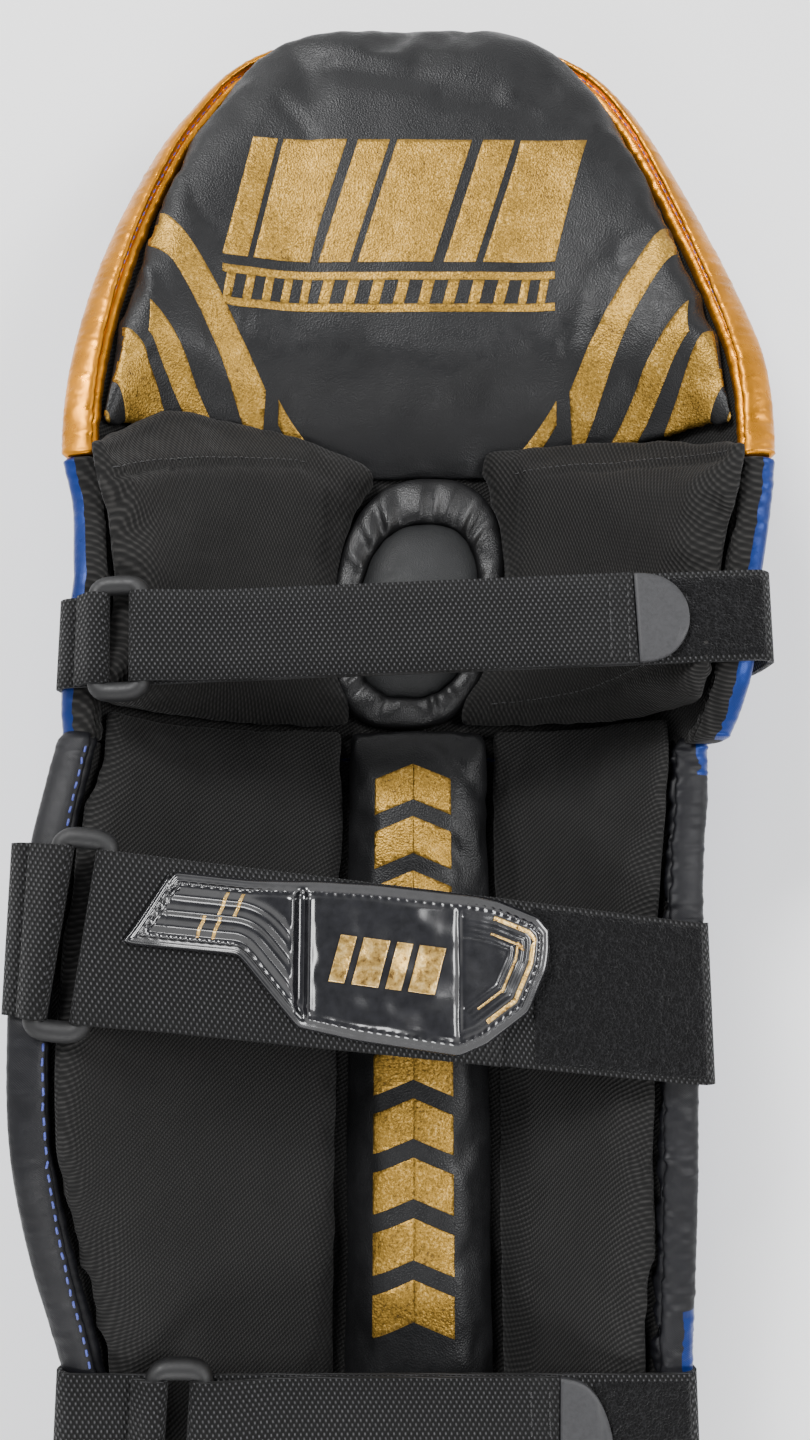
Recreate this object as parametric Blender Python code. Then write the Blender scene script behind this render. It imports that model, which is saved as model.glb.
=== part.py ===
"""A cricket batting pad for the left leg, lying on its front with the leg side up.

Lengths are in metres. A place on the pad has three values:
  across  arc length from the centre line over the inner face of the shell, + to +X
  along   length from the centre of the knee, + to the thigh end at +Y
  height  distance from that inner face, + towards the leg
Tables hold shares of the named sizes, and each of them names its columns.
"""
import math

import bmesh
import bpy
from mathutils import Vector

# Reach of the sections along the pad
TOP_REACH = 0.250
SEAM_REACH = 0.058
SHIN_REACH = 0.400
INSTEP_LENGTH = 0.064

# Curved base that every piece follows
FLAT_HALF = 0.040
FLAT_MOST = 0.8
LEFT_RADIUS = 0.084
RIGHT_RADIUS = 0.050
KNEE_EDGE = 0.150
SHIN_EDGE = 0.164

# Front shell and its rolls
FACE_THICK = 0.020
RIM_THICK = 0.009
ROLL_FIELD_HALF = 0.074
ROLL_FIELD_MOST = 0.86
ROLL_COUNT = 7
ROLL_STEPS = 3
ROLL_GROOVE = 0.006
ROLL_FADE = 0.025
GROOVE_END_SHARE = 0.25
KNEE_ROLL_DEPTH = 0.0264
KNEE_ROLL_WIDTH = 0.037
KNEE_ROLL_HALF = 0.110
KNEE_ROLL_COUNT = 3
KNEE_ROLL_TAPER = 0.7
INSTEP_HALF = 0.066
INSTEP_THICK = 0.022
INSTEP_SIDE_SHARE = 0.6
INSTEP_END_DROP = 0.0046

# Edge binding
BINDING_WIDTH = 0.006
BINDING_BULGE = 0.001
KNEE_BINDING_SHARE = 0.2

# Soft pieces on the leg side
CUSHION_HEIGHT = 0.024
CUSHION_EDGE = 0.009
CUSHION_END_INSET = 0.003
BOLSTER_HEIGHT = 0.026
BOLSTER_EDGE = 0.011
BOLSTER_TOP = 0.066
BOLSTER_DIP = 0.010
BOLSTER_DIP_HALF = 0.060
BOLSTER_CORNER_DROP = 0.011
BOLSTER_CORNER = 0.105
BOLSTER_BOTTOM = 0.046
CALF_HEIGHT = 0.020
CALF_EDGE = 0.008
CALF_END_INSET = 0.014
BAR_HALF = 0.028
BAR_HEIGHT = 0.020
BAR_EDGE = 0.009
CUP_HALF_WIDTH = 0.031
CUP_HALF_LENGTH = 0.047
CUP_MIDDLE = 0.006
CUP_LEAN = 0.11
CUP_CORNER_HALF = 0.020
CUP_HEIGHT = 0.013
CUP_FOLDS = 14
CUP_FOLD_SHARE = 0.84
CUP_SQUARENESS = 0.8
CUP_SEAT_GAP = 0.001
DOME_SHARE = 0.70
DOME_HEIGHT = 0.016
CROWN_POWER = 0.7

# Straps and their rings
STRAP_THICK = 0.0022
STRAP_TAIL = 0.022
STRAP_CORNER = 0.004
LAYER_GAP = 0.0005
LAYER_EASE = 0.030
LEAN_EASE = 0.008
TAB_BACK = 0.0068
TAB_WRAP = math.radians(40.0)
RING_WIRE = 0.0019
RING_SPAN = 0.016
RING_SIDE_PLAY = 0.0012
RING_CORNER = 0.0042
TIP_LENGTH = 0.018
TIP_THICK = 0.0028
BADGE_LENGTH = 0.140
BADGE_THICK = 0.004
BADGE_START = 0.008
BADGE_BEVEL = 0.0012

# Clearances
PIECE_GAP = 0.0006
RIM_GAP = 0.0009
STRAP_GAP = 0.0009
TIP_GAP = 0.0004
ROLL_SEAT_GAP = 0.0010
CURVED_GAP = 0.0011

# Steps of round and curved stretches
STATION_SPARE = 0.004
ARCH_STEPS = 8
TURN_STEPS = 8
CORNER_STEPS = 5
TAIL_STEPS = 4
WIRE_SIDES = 6

# Base: share of the reach, then shares of KEEL_HEIGHT, LEFT_RADIUS and RIGHT_RADIUS
KEEL_HEIGHT = FACE_THICK + ROLL_SEAT_GAP + KNEE_ROLL_DEPTH
THIGH_BASE = (
    (0.00, 1.00, 0.90, 1.44),
    (0.24, 1.00, 1.07, 1.80),
    (1.00, 1.49, 1.24, 2.08),
)
SHIN_BASE = (
    (0.000, 1.00, 0.98, 1.24),
    (0.268, 1.00, 1.00, 1.00),
    (0.707, 1.00, 0.88, 1.00),
    (1.000, 0.94, 0.76, 1.00),
)
INSTEP_BASE = ((1.0, 0.48, 0.69, 1.00),)

# Outline of knee and thigh: share of TOP_REACH, or of SEAM_REACH where it is below
# zero, then the left and right edge as shares of KNEE_EDGE
KNEE_OUTLINE = (
    (-1.000, 0.947, 0.850),
    (-0.800, 0.965, 0.920),
    (-0.550, 0.970, 0.970),
    (0.000, 0.965, 0.980),
    (0.110, 0.956, 0.990),
    (0.185, 0.992, 0.993),
    (0.240, 0.988, 0.987),
    (0.300, 0.975, 0.975),
    (0.368, 0.950, 0.947),
    (0.484, 0.893, 0.870),
    (0.620, 0.810, 0.773),
    (0.760, 0.705, 0.668),
    (0.844, 0.622, 0.592),
    (0.908, 0.545, 0.512),
    (0.955, 0.455, 0.415),
    (0.985, 0.350, 0.300),
)

# Outline of the shin: share of the way from the seam to its lower end, then the left
# and right edge as shares of SHIN_EDGE
SHIN_OUTLINE = (
    (0.000, 0.884, 0.700),
    (0.057, 0.922, 0.700),
    (0.117, 0.958, 0.686),
    (0.203, 0.985, 0.683),
    (0.268, 1.000, 0.682),
    (0.347, 0.998, 0.658),
    (0.400, 0.980, 0.648),
    (0.449, 0.945, 0.640),
    (0.511, 0.890, 0.626),
    (0.561, 0.840, 0.614),
    (0.605, 0.800, 0.604),
    (0.646, 0.770, 0.596),
    (0.707, 0.745, 0.584),
    (0.795, 0.706, 0.560),
    (0.890, 0.652, 0.535),
    (0.960, 0.580, 0.500),
    (1.000, 0.500, 0.445),
)

# Outline of the instep flap: share of its length, share of INSTEP_HALF
INSTEP_OUTLINE = (
    (0.00, 0.92),
    (0.25, 0.97),
    (0.55, 1.00),
    (0.80, 0.97),
    (0.93, 0.86),
    (1.00, 0.70),
)

# Section of a knee roll: share of its width, share of its depth
KNEE_ROLL_PROFILE = (
    (0.00, 0.00),
    (-0.50, 0.00),
    (-0.50, 0.45),
    (-0.36, 0.82),
    (-0.16, 1.00),
    (0.16, 1.00),
    (0.36, 0.82),
    (0.50, 0.45),
    (0.50, 0.00),
)

# Section of the binding: share of its width, share of half its height
BINDING_PROFILE = ((0.0, -1.0), (0.62, -0.78), (1.0, 0.0), (0.62, 0.78), (0.0, 1.0))

# Section of the gathered ring: share of its outline from the dome's edge outwards, share
# of its height, and 1 where the folds pull it down
CUP_PROFILE = (
    (1.00, 0.00, 0),
    (1.00, 0.70, 1),
    (0.75, 1.00, 1),
    (0.22, 0.92, 1),
    (0.00, 0.50, 0),
    (0.00, 0.00, 0),
)

# Section of the dome: share of its outline, share of its height
DOME_PROFILE = ((1.0, 0.0), (1.0, 0.45), (0.93, 0.68), (0.72, 0.90), (0.38, 1.0), (0.12, 1.0))

# Straps: name, along at the ring, width, lean, ring offset from the left edge,
# length of the folded-back layer
STRAPS = (
    ("knee", -0.0255, 0.032, 0.035, 0.009, 0.171),
    ("calf", -0.1240, 0.055, -0.115, 0.008, 0.136),
    ("ankle", -0.2930, 0.050, -0.030, 0.026, 0.118),
)

# Half-round tip: share of its length, share of the strap width
TIP_OUTLINE = (
    (0.00, 1.00),
    (0.30, 0.98),
    (0.58, 0.88),
    (0.80, 0.68),
    (0.93, 0.44),
    (1.00, 0.22),
)

# Badge: share of its length, lower and upper edge as shares of half the strap width
BADGE_OUTLINE = (
    (0.000, -0.02, 0.12),
    (0.028, -0.05, 0.30),
    (0.098, -0.05, 0.85),
    (0.267, -0.04, 0.86),
    (0.379, -0.58, 0.91),
    (0.424, -0.79, 0.94),
    (0.562, -0.87, 0.98),
    (0.808, -0.93, 0.99),
    (0.871, -0.76, 0.96),
    (0.965, -0.33, 0.83),
    (1.000, 0.22, 0.66),
)

# Finishes: name, colour, roughness, metallic
FINISHES = {
    "face": ((0.030, 0.085, 0.420), 0.35, 0.1),
    "black_leather": ((0.018, 0.018, 0.020), 0.45, 0.0),
    "gold_satin": ((0.620, 0.250, 0.060), 0.35, 0.5),
    "blue_satin": ((0.020, 0.110, 0.520), 0.35, 0.4),
    "black_fabric": ((0.012, 0.012, 0.013), 0.90, 0.0),
    "webbing": ((0.010, 0.010, 0.011), 0.80, 0.0),
    "plastic": ((0.015, 0.015, 0.016), 0.40, 0.0),
    "gloss": ((0.010, 0.010, 0.011), 0.12, 0.0),
}


def interpolate(rows, at):
    """Columns after the first, straight between the rows on both sides of a place."""
    below = rows[0]
    if at <= below[0]:
        return below[1:]
    for above in rows[1:]:
        if at <= above[0]:
            share = (at - below[0]) / (above[0] - below[0])
            return tuple(low + (high - low) * share for low, high in zip(below[1:], above[1:]))
        below = above
    return below[1:]


def shin_along(share):
    """Place between the knee seam and the lower end of the shin."""
    start = SEAM_REACH + PIECE_GAP
    return -start - share * (SHIN_REACH - start)


def knee_along(share):
    """Place above the knee centre, or between it and the seam."""
    return share * (TOP_REACH if share > 0 else SEAM_REACH)


def make_base():
    """Rows of along, keel height, left radius and right radius, upwards."""
    rows = [(share * TOP_REACH, *rest) for share, *rest in THIGH_BASE]
    rows += [(shin_along(share), *rest) for share, *rest in SHIN_BASE]
    rows += [(-SHIN_REACH - share * INSTEP_LENGTH, *rest) for share, *rest in INSTEP_BASE]
    return sorted(
        (along, keel * KEEL_HEIGHT, left * LEFT_RADIUS, right * RIGHT_RADIUS)
        for along, keel, left, right in rows
    )


BASE = make_base()
KNEE_RIM = sorted(
    (knee_along(share), left * KNEE_EDGE, right * KNEE_EDGE) for share, left, right in KNEE_OUTLINE
)
SHIN_RIM = sorted(
    (shin_along(share), left * SHIN_EDGE, right * SHIN_EDGE) for share, left, right in SHIN_OUTLINE
)


def pad_point(across, along, height):
    """World place of a point on the curved base."""
    keel, left_radius, right_radius = interpolate(BASE, along)
    side = -1 if across < 0 else 1
    radius = left_radius if across < 0 else right_radius
    arc = abs(across) - FLAT_HALF
    if arc <= 0:
        return Vector((across, along, keel + height))
    reach = radius - height
    angle = arc / radius
    return Vector((side * (FLAT_HALF + reach * math.sin(angle)), along,
                   keel + radius - reach * math.cos(angle)))


def stations(rows, low, high, spare=STATION_SPARE):
    """Places of the table rows and base rows strictly between two ends, with both ends."""
    inner = [row[0] for row in rows] + [row[0] for row in BASE]
    kept = [low]
    for along in sorted(inner):
        if kept[-1] + spare < along < high - spare:
            kept.append(along)
    return kept + [high]


def rounded(share, power=4.0):
    """Rise from 0 at both ends to 1 in the middle, with a flat top."""
    return 1.0 - abs(2.0 * share - 1.0) ** power


def spread(count):
    """Shares from 0 to 1 that lie closer together at both ends."""
    even = [step / count for step in range(count + 1)]
    return [0.5 * share + 0.25 * (1.0 - math.cos(math.pi * share)) for share in even]


def make_material(name):
    """Principled material of one finish."""
    colour, roughness, metallic = FINISHES[name]
    material = bpy.data.materials.new(name)
    material.use_nodes = True
    shader = material.node_tree.nodes["Principled BSDF"]
    shader.inputs["Base Color"].default_value = (*colour, 1.0)
    shader.inputs["Roughness"].default_value = roughness
    shader.inputs["Metallic"].default_value = metallic
    return material


def add_piece(name, body, finish):
    """Turn a bmesh into a named, smooth-shaded object."""
    bmesh.ops.recalc_face_normals(body, faces=body.faces)
    mesh = bpy.data.meshes.new(name)
    body.to_mesh(mesh)
    body.free()
    mesh.shade_smooth()
    mesh.set_sharp_from_angle(angle=math.radians(40.0))
    mesh.materials.append(MATERIALS[finish])
    piece = bpy.data.objects.new(name, mesh)
    bpy.context.scene.collection.objects.link(piece)
    return piece


def loft(name, rings, finish, closed=False):
    """Closed body through rings of equally many points; a closed loft has no ends."""
    body = bmesh.new()
    loops = [[body.verts.new(point) for point in ring] for ring in rings]
    count = len(loops[0])
    pairs = list(zip(loops, loops[1:]))
    if closed:
        pairs.append((loops[-1], loops[0]))
    for first, second in pairs:
        for step in range(count):
            after = (step + 1) % count
            body.faces.new((first[step], first[after], second[after], second[step]))
    if not closed:
        body.faces.new(loops[0])
        body.faces.new(loops[-1])
    return add_piece(name, body, finish)


def zip_faces(body, first, second):
    """Triangles between two rows of vertices that run the same way."""
    low = 0
    high = 0
    while low < len(first) - 1 or high < len(second) - 1:
        first_share = (low + 1) / (len(first) - 1)
        second_share = (high + 1) / (len(second) - 1)
        if high == len(second) - 1 or (low < len(first) - 1 and first_share <= second_share):
            body.faces.new((first[low], first[low + 1], second[high]))
            low += 1
        else:
            body.faces.new((first[low], second[high + 1], second[high]))
            high += 1


def slab(name, lower_rows, upper_rows, finish):
    """Closed body between a lower and an upper grid of points with equally many rows."""
    body = bmesh.new()
    lower = [[body.verts.new(point) for point in row] for row in lower_rows]
    upper = [[body.verts.new(point) for point in row] for row in upper_rows]
    for grid in (lower, upper):
        for near, far in zip(grid, grid[1:]):
            for step in range(len(near) - 1):
                body.faces.new((near[step], near[step + 1], far[step + 1], far[step]))
    for end in (0, -1):
        for step in range(len(lower) - 1):
            body.faces.new((lower[step][end], lower[step + 1][end],
                            upper[step + 1][end], upper[step][end]))
        zip_faces(body, lower[end], upper[end])
    return add_piece(name, body, finish)


def inset_line(points, distance):
    """Move each (across, along) point of a line to its right by a distance."""
    moved = []
    for step, point in enumerate(points):
        before = points[max(step - 1, 0)]
        after = points[min(step + 1, len(points) - 1)]
        run = (after[0] - before[0], after[1] - before[1])
        length = math.hypot(*run)
        moved.append((point[0] + distance * run[1] / length, point[1] - distance * run[0] / length))
    return moved


def with_end(line, end, along):
    """Line whose first or last point is moved along its own run to a place along the pad."""
    last, before = (line[0], line[1]) if end == 0 else (line[-1], line[-2])
    slope = (last[0] - before[0]) / (last[1] - before[1])
    moved = list(line)
    moved[end] = (before[0] + slope * (along - before[1]), along)
    return moved


def knee_rim_line():
    """Outer edge of knee and thigh, from the lower left over the top to the lower right."""
    left = [(-left_edge, along) for along, left_edge, right_edge in KNEE_RIM]
    right = [(right_edge, along) for along, left_edge, right_edge in KNEE_RIM]
    top_left = left[-1]
    top_right = right[-1]
    arch = []
    for step in range(1, ARCH_STEPS):
        share = step / ARCH_STEPS
        across = top_left[0] + (top_right[0] - top_left[0]) * share
        arch.append((across, top_left[1] + (TOP_REACH - top_left[1]) * rounded(share, 2.0)))
    return left, arch, right


def shin_inset(line, distance):
    """Inset of one side of the shin, between the same two ends along the pad."""
    inset = inset_line(line, distance)
    for end in (0, -1):
        inset = with_end(inset, end, line[end][1])
    return inset


def inner_rows(line):
    """Rows of along and distance from the centre line, for one side of an inset line."""
    return sorted((along, abs(across)) for across, along in line)


def inner_edge(side, along):
    """Edge of the shell inside the binding, as a distance from the centre line."""
    rows = KNEE_INNER if along >= -SEAM_REACH else SHIN_INNER
    return interpolate(rows[side], along)[0]


def field_columns(left_edge, right_edge, wing_steps):
    """Places across the front face: a wing, the field of upright rolls, a wing.

    Each place comes with its phase in the rolls, or None on a wing.
    """
    left_field = min(ROLL_FIELD_HALF, ROLL_FIELD_MOST * left_edge)
    right_field = min(ROLL_FIELD_HALF, ROLL_FIELD_MOST * right_edge)
    steps = ROLL_COUNT * ROLL_STEPS
    columns = []
    for step in range(wing_steps[0]):
        share = step / wing_steps[0]
        columns.append((-left_edge + (left_edge - left_field) * share, None))
    for step in range(steps + 1):
        share = step / steps
        phase = (step % ROLL_STEPS) / ROLL_STEPS
        columns.append((-left_field + (left_field + right_field) * share, phase))
    for step in range(1, wing_steps[1] + 1):
        share = step / wing_steps[1]
        columns.append((right_field + (right_edge - right_field) * share, None))
    return columns


def face_depth(across, edge, phase, roll_share):
    """Thickness of the shell at a place across it."""
    field = min(ROLL_FIELD_HALF, ROLL_FIELD_MOST * edge)
    if phase is None or abs(across) >= field:
        share = min((abs(across) - field) / (edge - field), 1.0)
        groove = ROLL_GROOVE * roll_share * (1.0 - min(share / GROOVE_END_SHARE, 1.0))
        return FACE_THICK - (FACE_THICK - RIM_THICK) * share - groove
    if phase > 0:
        return FACE_THICK
    return FACE_THICK - ROLL_GROOVE * roll_share


def inner_columns(left_edge, right_edge, wing_steps):
    """Places across the inner face, close together where it is curved."""
    left_flat = min(FLAT_HALF, FLAT_MOST * left_edge)
    right_flat = min(FLAT_HALF, FLAT_MOST * right_edge)
    left_step = (left_edge - left_flat) / wing_steps[0]
    right_step = (right_edge - right_flat) / wing_steps[1]
    left = [-left_edge + left_step * step for step in range(wing_steps[0] + 1)]
    right = [right_edge - right_step * step for step in range(wing_steps[1] + 1)]
    return left + [0.0] + right[::-1]


def shell(name, edges, roll_share, along_at, outer_steps, inner_steps, finish):
    """Padded front shell through rows of a left and a right edge point.

    roll_share gives the depth of the rolls at a place along the pad, and along_at the
    place along the pad of a point in a row.
    """
    lower = []
    upper = []
    for row, (left, right) in enumerate(edges):
        face = []
        for across, phase in field_columns(-left[0], right[0], outer_steps):
            edge = -left[0] if across < 0 else right[0]
            along = along_at(row, across)
            depth = face_depth(across, edge, phase, roll_share(along))
            face.append(pad_point(across, along, -depth))
        lower.append(face)
        inside = inner_columns(-left[0], right[0], inner_steps)
        upper.append([pad_point(across, along_at(row, across), 0.0) for across in inside])
    return slab(name, lower, upper, finish)


def make_top_face():
    """Shell behind the knee and the thigh, with an arched upper end."""
    inner = KNEE_INNER_LINE
    count = len(KNEE_RIM)
    inner_left = inner[:count]
    inner_right = inner[:-count - 1:-1]
    edges = list(zip(inner_left, inner_right))
    top_line = inner[count - 1:len(inner) - count + 1]

    def along_at(row, across):
        (left_across, left_along), (right_across, right_along) = edges[row]
        share = (across - left_across) / (right_across - left_across)
        straight = left_along + (right_along - left_along) * share
        if row < len(edges) - 1:
            return straight
        return interpolate(top_line, across)[0]

    def roll_share(along):
        return min(max((along - BOLSTER_TOP) / ROLL_FADE, 0.0), 1.0)

    shell("top_face", edges, roll_share, along_at, (5, 5), (10, 10), "face")


def make_shin_face():
    """Shell of the shin, with a wide left wing."""
    places = stations(SHIN_RIM, -SHIN_REACH, SHIN_RIM[-1][0])
    edges = [((-inner_edge(-1, along), along), (inner_edge(1, along), along)) for along in places]

    def along_at(row, across):
        return places[row]

    def roll_share(along):
        return 1.0

    shell("shin_face", edges, roll_share, along_at, (6, 4), (9, 7), "face")


def make_instep():
    """Short flap below the shin, with a rounded lower end."""
    steps = 10
    lower = []
    upper = []
    for share, width in INSTEP_OUTLINE:
        along = -SHIN_REACH - PIECE_GAP - share * (INSTEP_LENGTH - PIECE_GAP)
        half = width * INSTEP_HALF
        face = []
        inside = []
        for step in range(steps + 1):
            across = half * (2.0 * step / steps - 1.0)
            middle = rounded(step / steps, 6.0)
            depth = INSTEP_THICK * (INSTEP_SIDE_SHARE + (1.0 - INSTEP_SIDE_SHARE) * middle)
            face.append(pad_point(across, along, -depth))
            inside.append(pad_point(across, along, -INSTEP_END_DROP * share ** 4))
        lower.append(face)
        upper.append(inside)
    slab("instep", lower, upper, "face")


def make_knee_rolls():
    """Rolls across the front of the knee; the middle of each has a flat to lie on."""
    pitch = KNEE_ROLL_WIDTH + PIECE_GAP
    half_width = KNEE_ROLL_WIDTH / 2
    columns = [share * 2.0 - 1.0 for share in spread(14)]
    for number in range(KNEE_ROLL_COUNT):
        middle = ((KNEE_ROLL_COUNT - 1) / 2 - number) * pitch
        rings = []
        for column in columns:
            across = column * KNEE_ROLL_HALF
            side = -1 if across < 0 else 1
            edge = max(inner_edge(side, middle + part * half_width) for part in (-1, 0, 1))
            phase = 1 if abs(across) < ROLL_FIELD_HALF else None
            seat = ROLL_SEAT_GAP + face_depth(across, edge, phase, 0.0)
            taper = max(abs(across) - FLAT_HALF, 0.0) / (KNEE_ROLL_HALF - FLAT_HALF)
            depth = KNEE_ROLL_DEPTH * (1.0 - KNEE_ROLL_TAPER * taper ** 3)
            ring = []
            for place, drop in KNEE_ROLL_PROFILE:
                along = middle + place * KNEE_ROLL_WIDTH
                ring.append(pad_point(across, along, -seat - drop * depth))
            rings.append(ring)
        loft("knee_roll_%d" % (number + 1), rings, "face")


def binding(name, outer, inner, finish):
    """Rolled edge between an outer and an inner line of (across, along) points."""
    half = RIM_THICK / 2 + BINDING_BULGE
    rings = []
    for outer_point, inner_point in zip(outer, inner):
        ring = []
        for out, rise in BINDING_PROFILE:
            across = inner_point[0] + (outer_point[0] - inner_point[0]) * out
            along = inner_point[1] + (outer_point[1] - inner_point[1]) * out
            ring.append(pad_point(across, along, -RIM_THICK / 2 + rise * half))
        rings.append(ring)
    loft(name, rings, finish)


def make_bindings():
    """Gold edge round the thigh, blue edges at the knee, black edges on the shin."""
    left, arch, right = knee_rim_line()
    outer = left + arch + right[::-1]
    inner = inset_line(outer, BINDING_WIDTH)
    count = len([row for row in KNEE_RIM if row[0] < KNEE_BINDING_SHARE * TOP_REACH])
    binding("top_binding", outer[count - 1:1 - count], inner[count - 1:1 - count], "gold_satin")
    for name, part, seam_end in (("left", slice(0, count), 0), ("right", slice(-count, None), -1)):
        lines = []
        for line in (outer[part], inner[part]):
            line = with_end(line, seam_end, -SEAM_REACH)
            joint = -1 - seam_end
            lines.append(with_end(line, joint, line[joint][1] - PIECE_GAP))
        binding("knee_binding_%s" % name, *lines, "blue_satin")
    for name, side, column in (("left", -1, 1), ("right", 1, 2)):
        rows = SHIN_RIM if side < 0 else SHIN_RIM[::-1]
        line = [(side * row[column], row[0]) for row in rows]
        inset = shin_inset(line, BINDING_WIDTH)
        binding("shin_binding_%s" % name, line, inset, "black_leather")


def cushion(name, places, edges, lower_end, upper_end, heights, seat_gap, columns, finish):
    """Crowned pad between two edges that change along the pad.

    places are stations along the pad, edges gives the two sides at a station, and the
    first and last row follow lower_end and upper_end across the pad. heights holds the
    height of the edge and of the crown, seat_gap the clearance below.
    """
    edge_height, crown = heights
    lower = []
    upper = []
    last = len(places) - 1
    for row, place in enumerate(places):
        first_side, second_side = edges(place)
        rise = rounded((place - places[0]) / (places[-1] - places[0]), 6.0)
        under = []
        over = []
        for share in spread(columns):
            across = first_side + (second_side - first_side) * share
            along = place
            if row == 0:
                along = lower_end(across)
            if row == last:
                along = upper_end(across)
            body = (rounded(share) * rise) ** CROWN_POWER
            under.append(pad_point(across, along, seat_gap))
            over.append(pad_point(across, along, edge_height + (crown - edge_height) * body))
        lower.append(under)
        upper.append(over)
    slab(name, lower, upper, finish)


def bolster_top_line(across):
    """Upper edge of the knee bolsters: a dip in the middle and dropped outer corners."""
    dip = BOLSTER_DIP * math.exp(-(across / BOLSTER_DIP_HALF) ** 2)
    corner = max(abs(across) - BOLSTER_CORNER, 0.0) / (KNEE_EDGE - BOLSTER_CORNER)
    return BOLSTER_TOP - dip - BOLSTER_CORNER_DROP * corner ** 2


def make_top_cushion():
    """Thigh cushion inside the rim, with the same arched end."""
    left, arch, right = knee_rim_line()
    inset = BINDING_WIDTH + RIM_GAP + CUSHION_END_INSET
    inner = inset_line(left + arch + right[::-1], inset)
    top_line = inner[len(left) - 1:len(inner) - len(left) + 1]
    places = [along for along in stations(KNEE_RIM, BOLSTER_TOP, top_line[0][1])
              if along == BOLSTER_TOP or along > BOLSTER_TOP + CUSHION_EDGE]

    def edges(along):
        return -inner_edge(-1, along), inner_edge(1, along)

    def lower_end(across):
        return bolster_top_line(across) + PIECE_GAP

    def upper_end(across):
        return interpolate(top_line, across)[0]

    cushion("top_cushion", places, edges, lower_end, upper_end,
            (CUSHION_EDGE, CUSHION_HEIGHT), CURVED_GAP, 20, "black_leather")


def superellipse(angle):
    """Across and along shares of the knee cup's outline at an angle."""
    across = math.copysign(abs(math.cos(angle)) ** CUP_SQUARENESS, math.cos(angle))
    along = math.copysign(abs(math.sin(angle)) ** CUP_SQUARENESS, math.sin(angle))
    return across, along


def cup_edges(along):
    """Middle and half width of the knee cup; it leans to the right as it rises."""
    middle = CUP_LEAN * (along - CUP_MIDDLE)
    reach = min(abs(along - CUP_MIDDLE) / CUP_HALF_LENGTH, 1.0)
    power = 2.0 / CUP_SQUARENESS
    return middle, CUP_HALF_WIDTH * (1.0 - reach ** power) ** (1.0 / power)


def make_knee_bolsters():
    """Fabric bolsters on both sides of the knee cup."""
    low = -BOLSTER_BOTTOM
    high = BOLSTER_TOP - BOLSTER_DIP
    step = 2.0 * math.tau / (CUP_FOLDS * 3)
    rows = [0.0]
    for number in range(5):
        share = superellipse((number + 0.5) * step)[1]
        rows += [CUP_MIDDLE - CUP_HALF_LENGTH * share, CUP_MIDDLE + CUP_HALF_LENGTH * share]
    spare = BOLSTER_EDGE / 4
    places = [low] + [row for row in sorted(rows) if low + spare < row < high - spare] + [high]

    for name, side in (("left", -1), ("right", 1)):
        def edges(along, side=side):
            middle, half = cup_edges(along)
            inside = middle + side * (max(half, CUP_CORNER_HALF) + CUP_SEAT_GAP)
            return side * inner_edge(side, along), inside

        cushion("knee_bolster_%s" % name, places, edges, lambda across: -BOLSTER_BOTTOM,
                bolster_top_line, (BOLSTER_EDGE, BOLSTER_HEIGHT), CURVED_GAP, 12, "black_fabric")


def make_knee_cup():
    """Gathered ring and smooth dome between the bolsters."""
    def cup_point(angle, share, height):
        across_share, along_share = superellipse(angle)
        along = CUP_MIDDLE + CUP_HALF_LENGTH * along_share * share
        across = CUP_HALF_WIDTH * across_share * share
        return pad_point(across + CUP_LEAN * (along - CUP_MIDDLE), along, height)

    steps = CUP_FOLDS * 3
    hole = DOME_SHARE + PIECE_GAP / CUP_HALF_WIDTH
    rings = []
    for step in range(steps):
        angle = math.tau * step / steps
        ring = []
        for out, rise, folded in CUP_PROFILE:
            fold = CUP_FOLD_SHARE if folded and step % 3 == 0 else 1.0
            height = PIECE_GAP + (CUP_HEIGHT - PIECE_GAP) * rise * fold
            ring.append(cup_point(angle, hole + (1.0 - hole) * out, height))
        rings.append(ring)
    loft("knee_cup_ring", rings, "black_leather", closed=True)

    steps = 24
    rings = []
    for size, rise in DOME_PROFILE:
        height = PIECE_GAP + (DOME_HEIGHT - PIECE_GAP) * rise
        rings.append([cup_point(math.tau * step / steps, DOME_SHARE * size, height)
                      for step in range(steps)])
    loft("knee_cup_dome", rings, "black_leather")


def make_shin_cushions():
    """Bar on the middle of the shin and a fabric bolster on each side of it."""
    start = -BOLSTER_BOTTOM - PIECE_GAP
    end = -SHIN_REACH + CALF_END_INSET
    places = stations(SHIN_RIM, end, start)

    def flat_end(place):
        return lambda across: place

    cushion("shin_bar", places, lambda along: (-BAR_HALF, BAR_HALF), flat_end(end),
            flat_end(start), (BAR_EDGE, BAR_HEIGHT), PIECE_GAP, 8, "black_leather")
    for name, side, columns in (("left", -1, 12), ("right", 1, 9)):
        def edges(along, side=side):
            edge = interpolate(SHIN_INNER[side], along)[0]
            if along >= SHIN_RIM[-1][0]:
                edge = min(edge, interpolate(KNEE_INNER[side], along)[0])
            return side * edge, side * (BAR_HALF + PIECE_GAP)

        cushion("calf_bolster_%s" % name, places, edges, flat_end(end), flat_end(start),
                (CALF_EDGE, CALF_HEIGHT), CURVED_GAP, columns, "black_fabric")


def rim_reach(side, along, width):
    """Farthest X and highest Z that the edge binding has over the width of a strap."""
    rim = KNEE_RIM if along > -SEAM_REACH else SHIN_RIM
    half = RIM_THICK / 2 + BINDING_BULGE
    points = []
    for place in stations(rim, along - width / 2, along + width / 2, 0.0):
        edge = interpolate(rim, place)[0 if side < 0 else 1]
        for out, rise in BINDING_PROFILE:
            across = side * (edge - BINDING_WIDTH * (1.0 - out))
            points.append(pad_point(across, place, -RIM_THICK / 2 + rise * half))
    return max(abs(point.x) for point in points), max(point.z for point in points)


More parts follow.
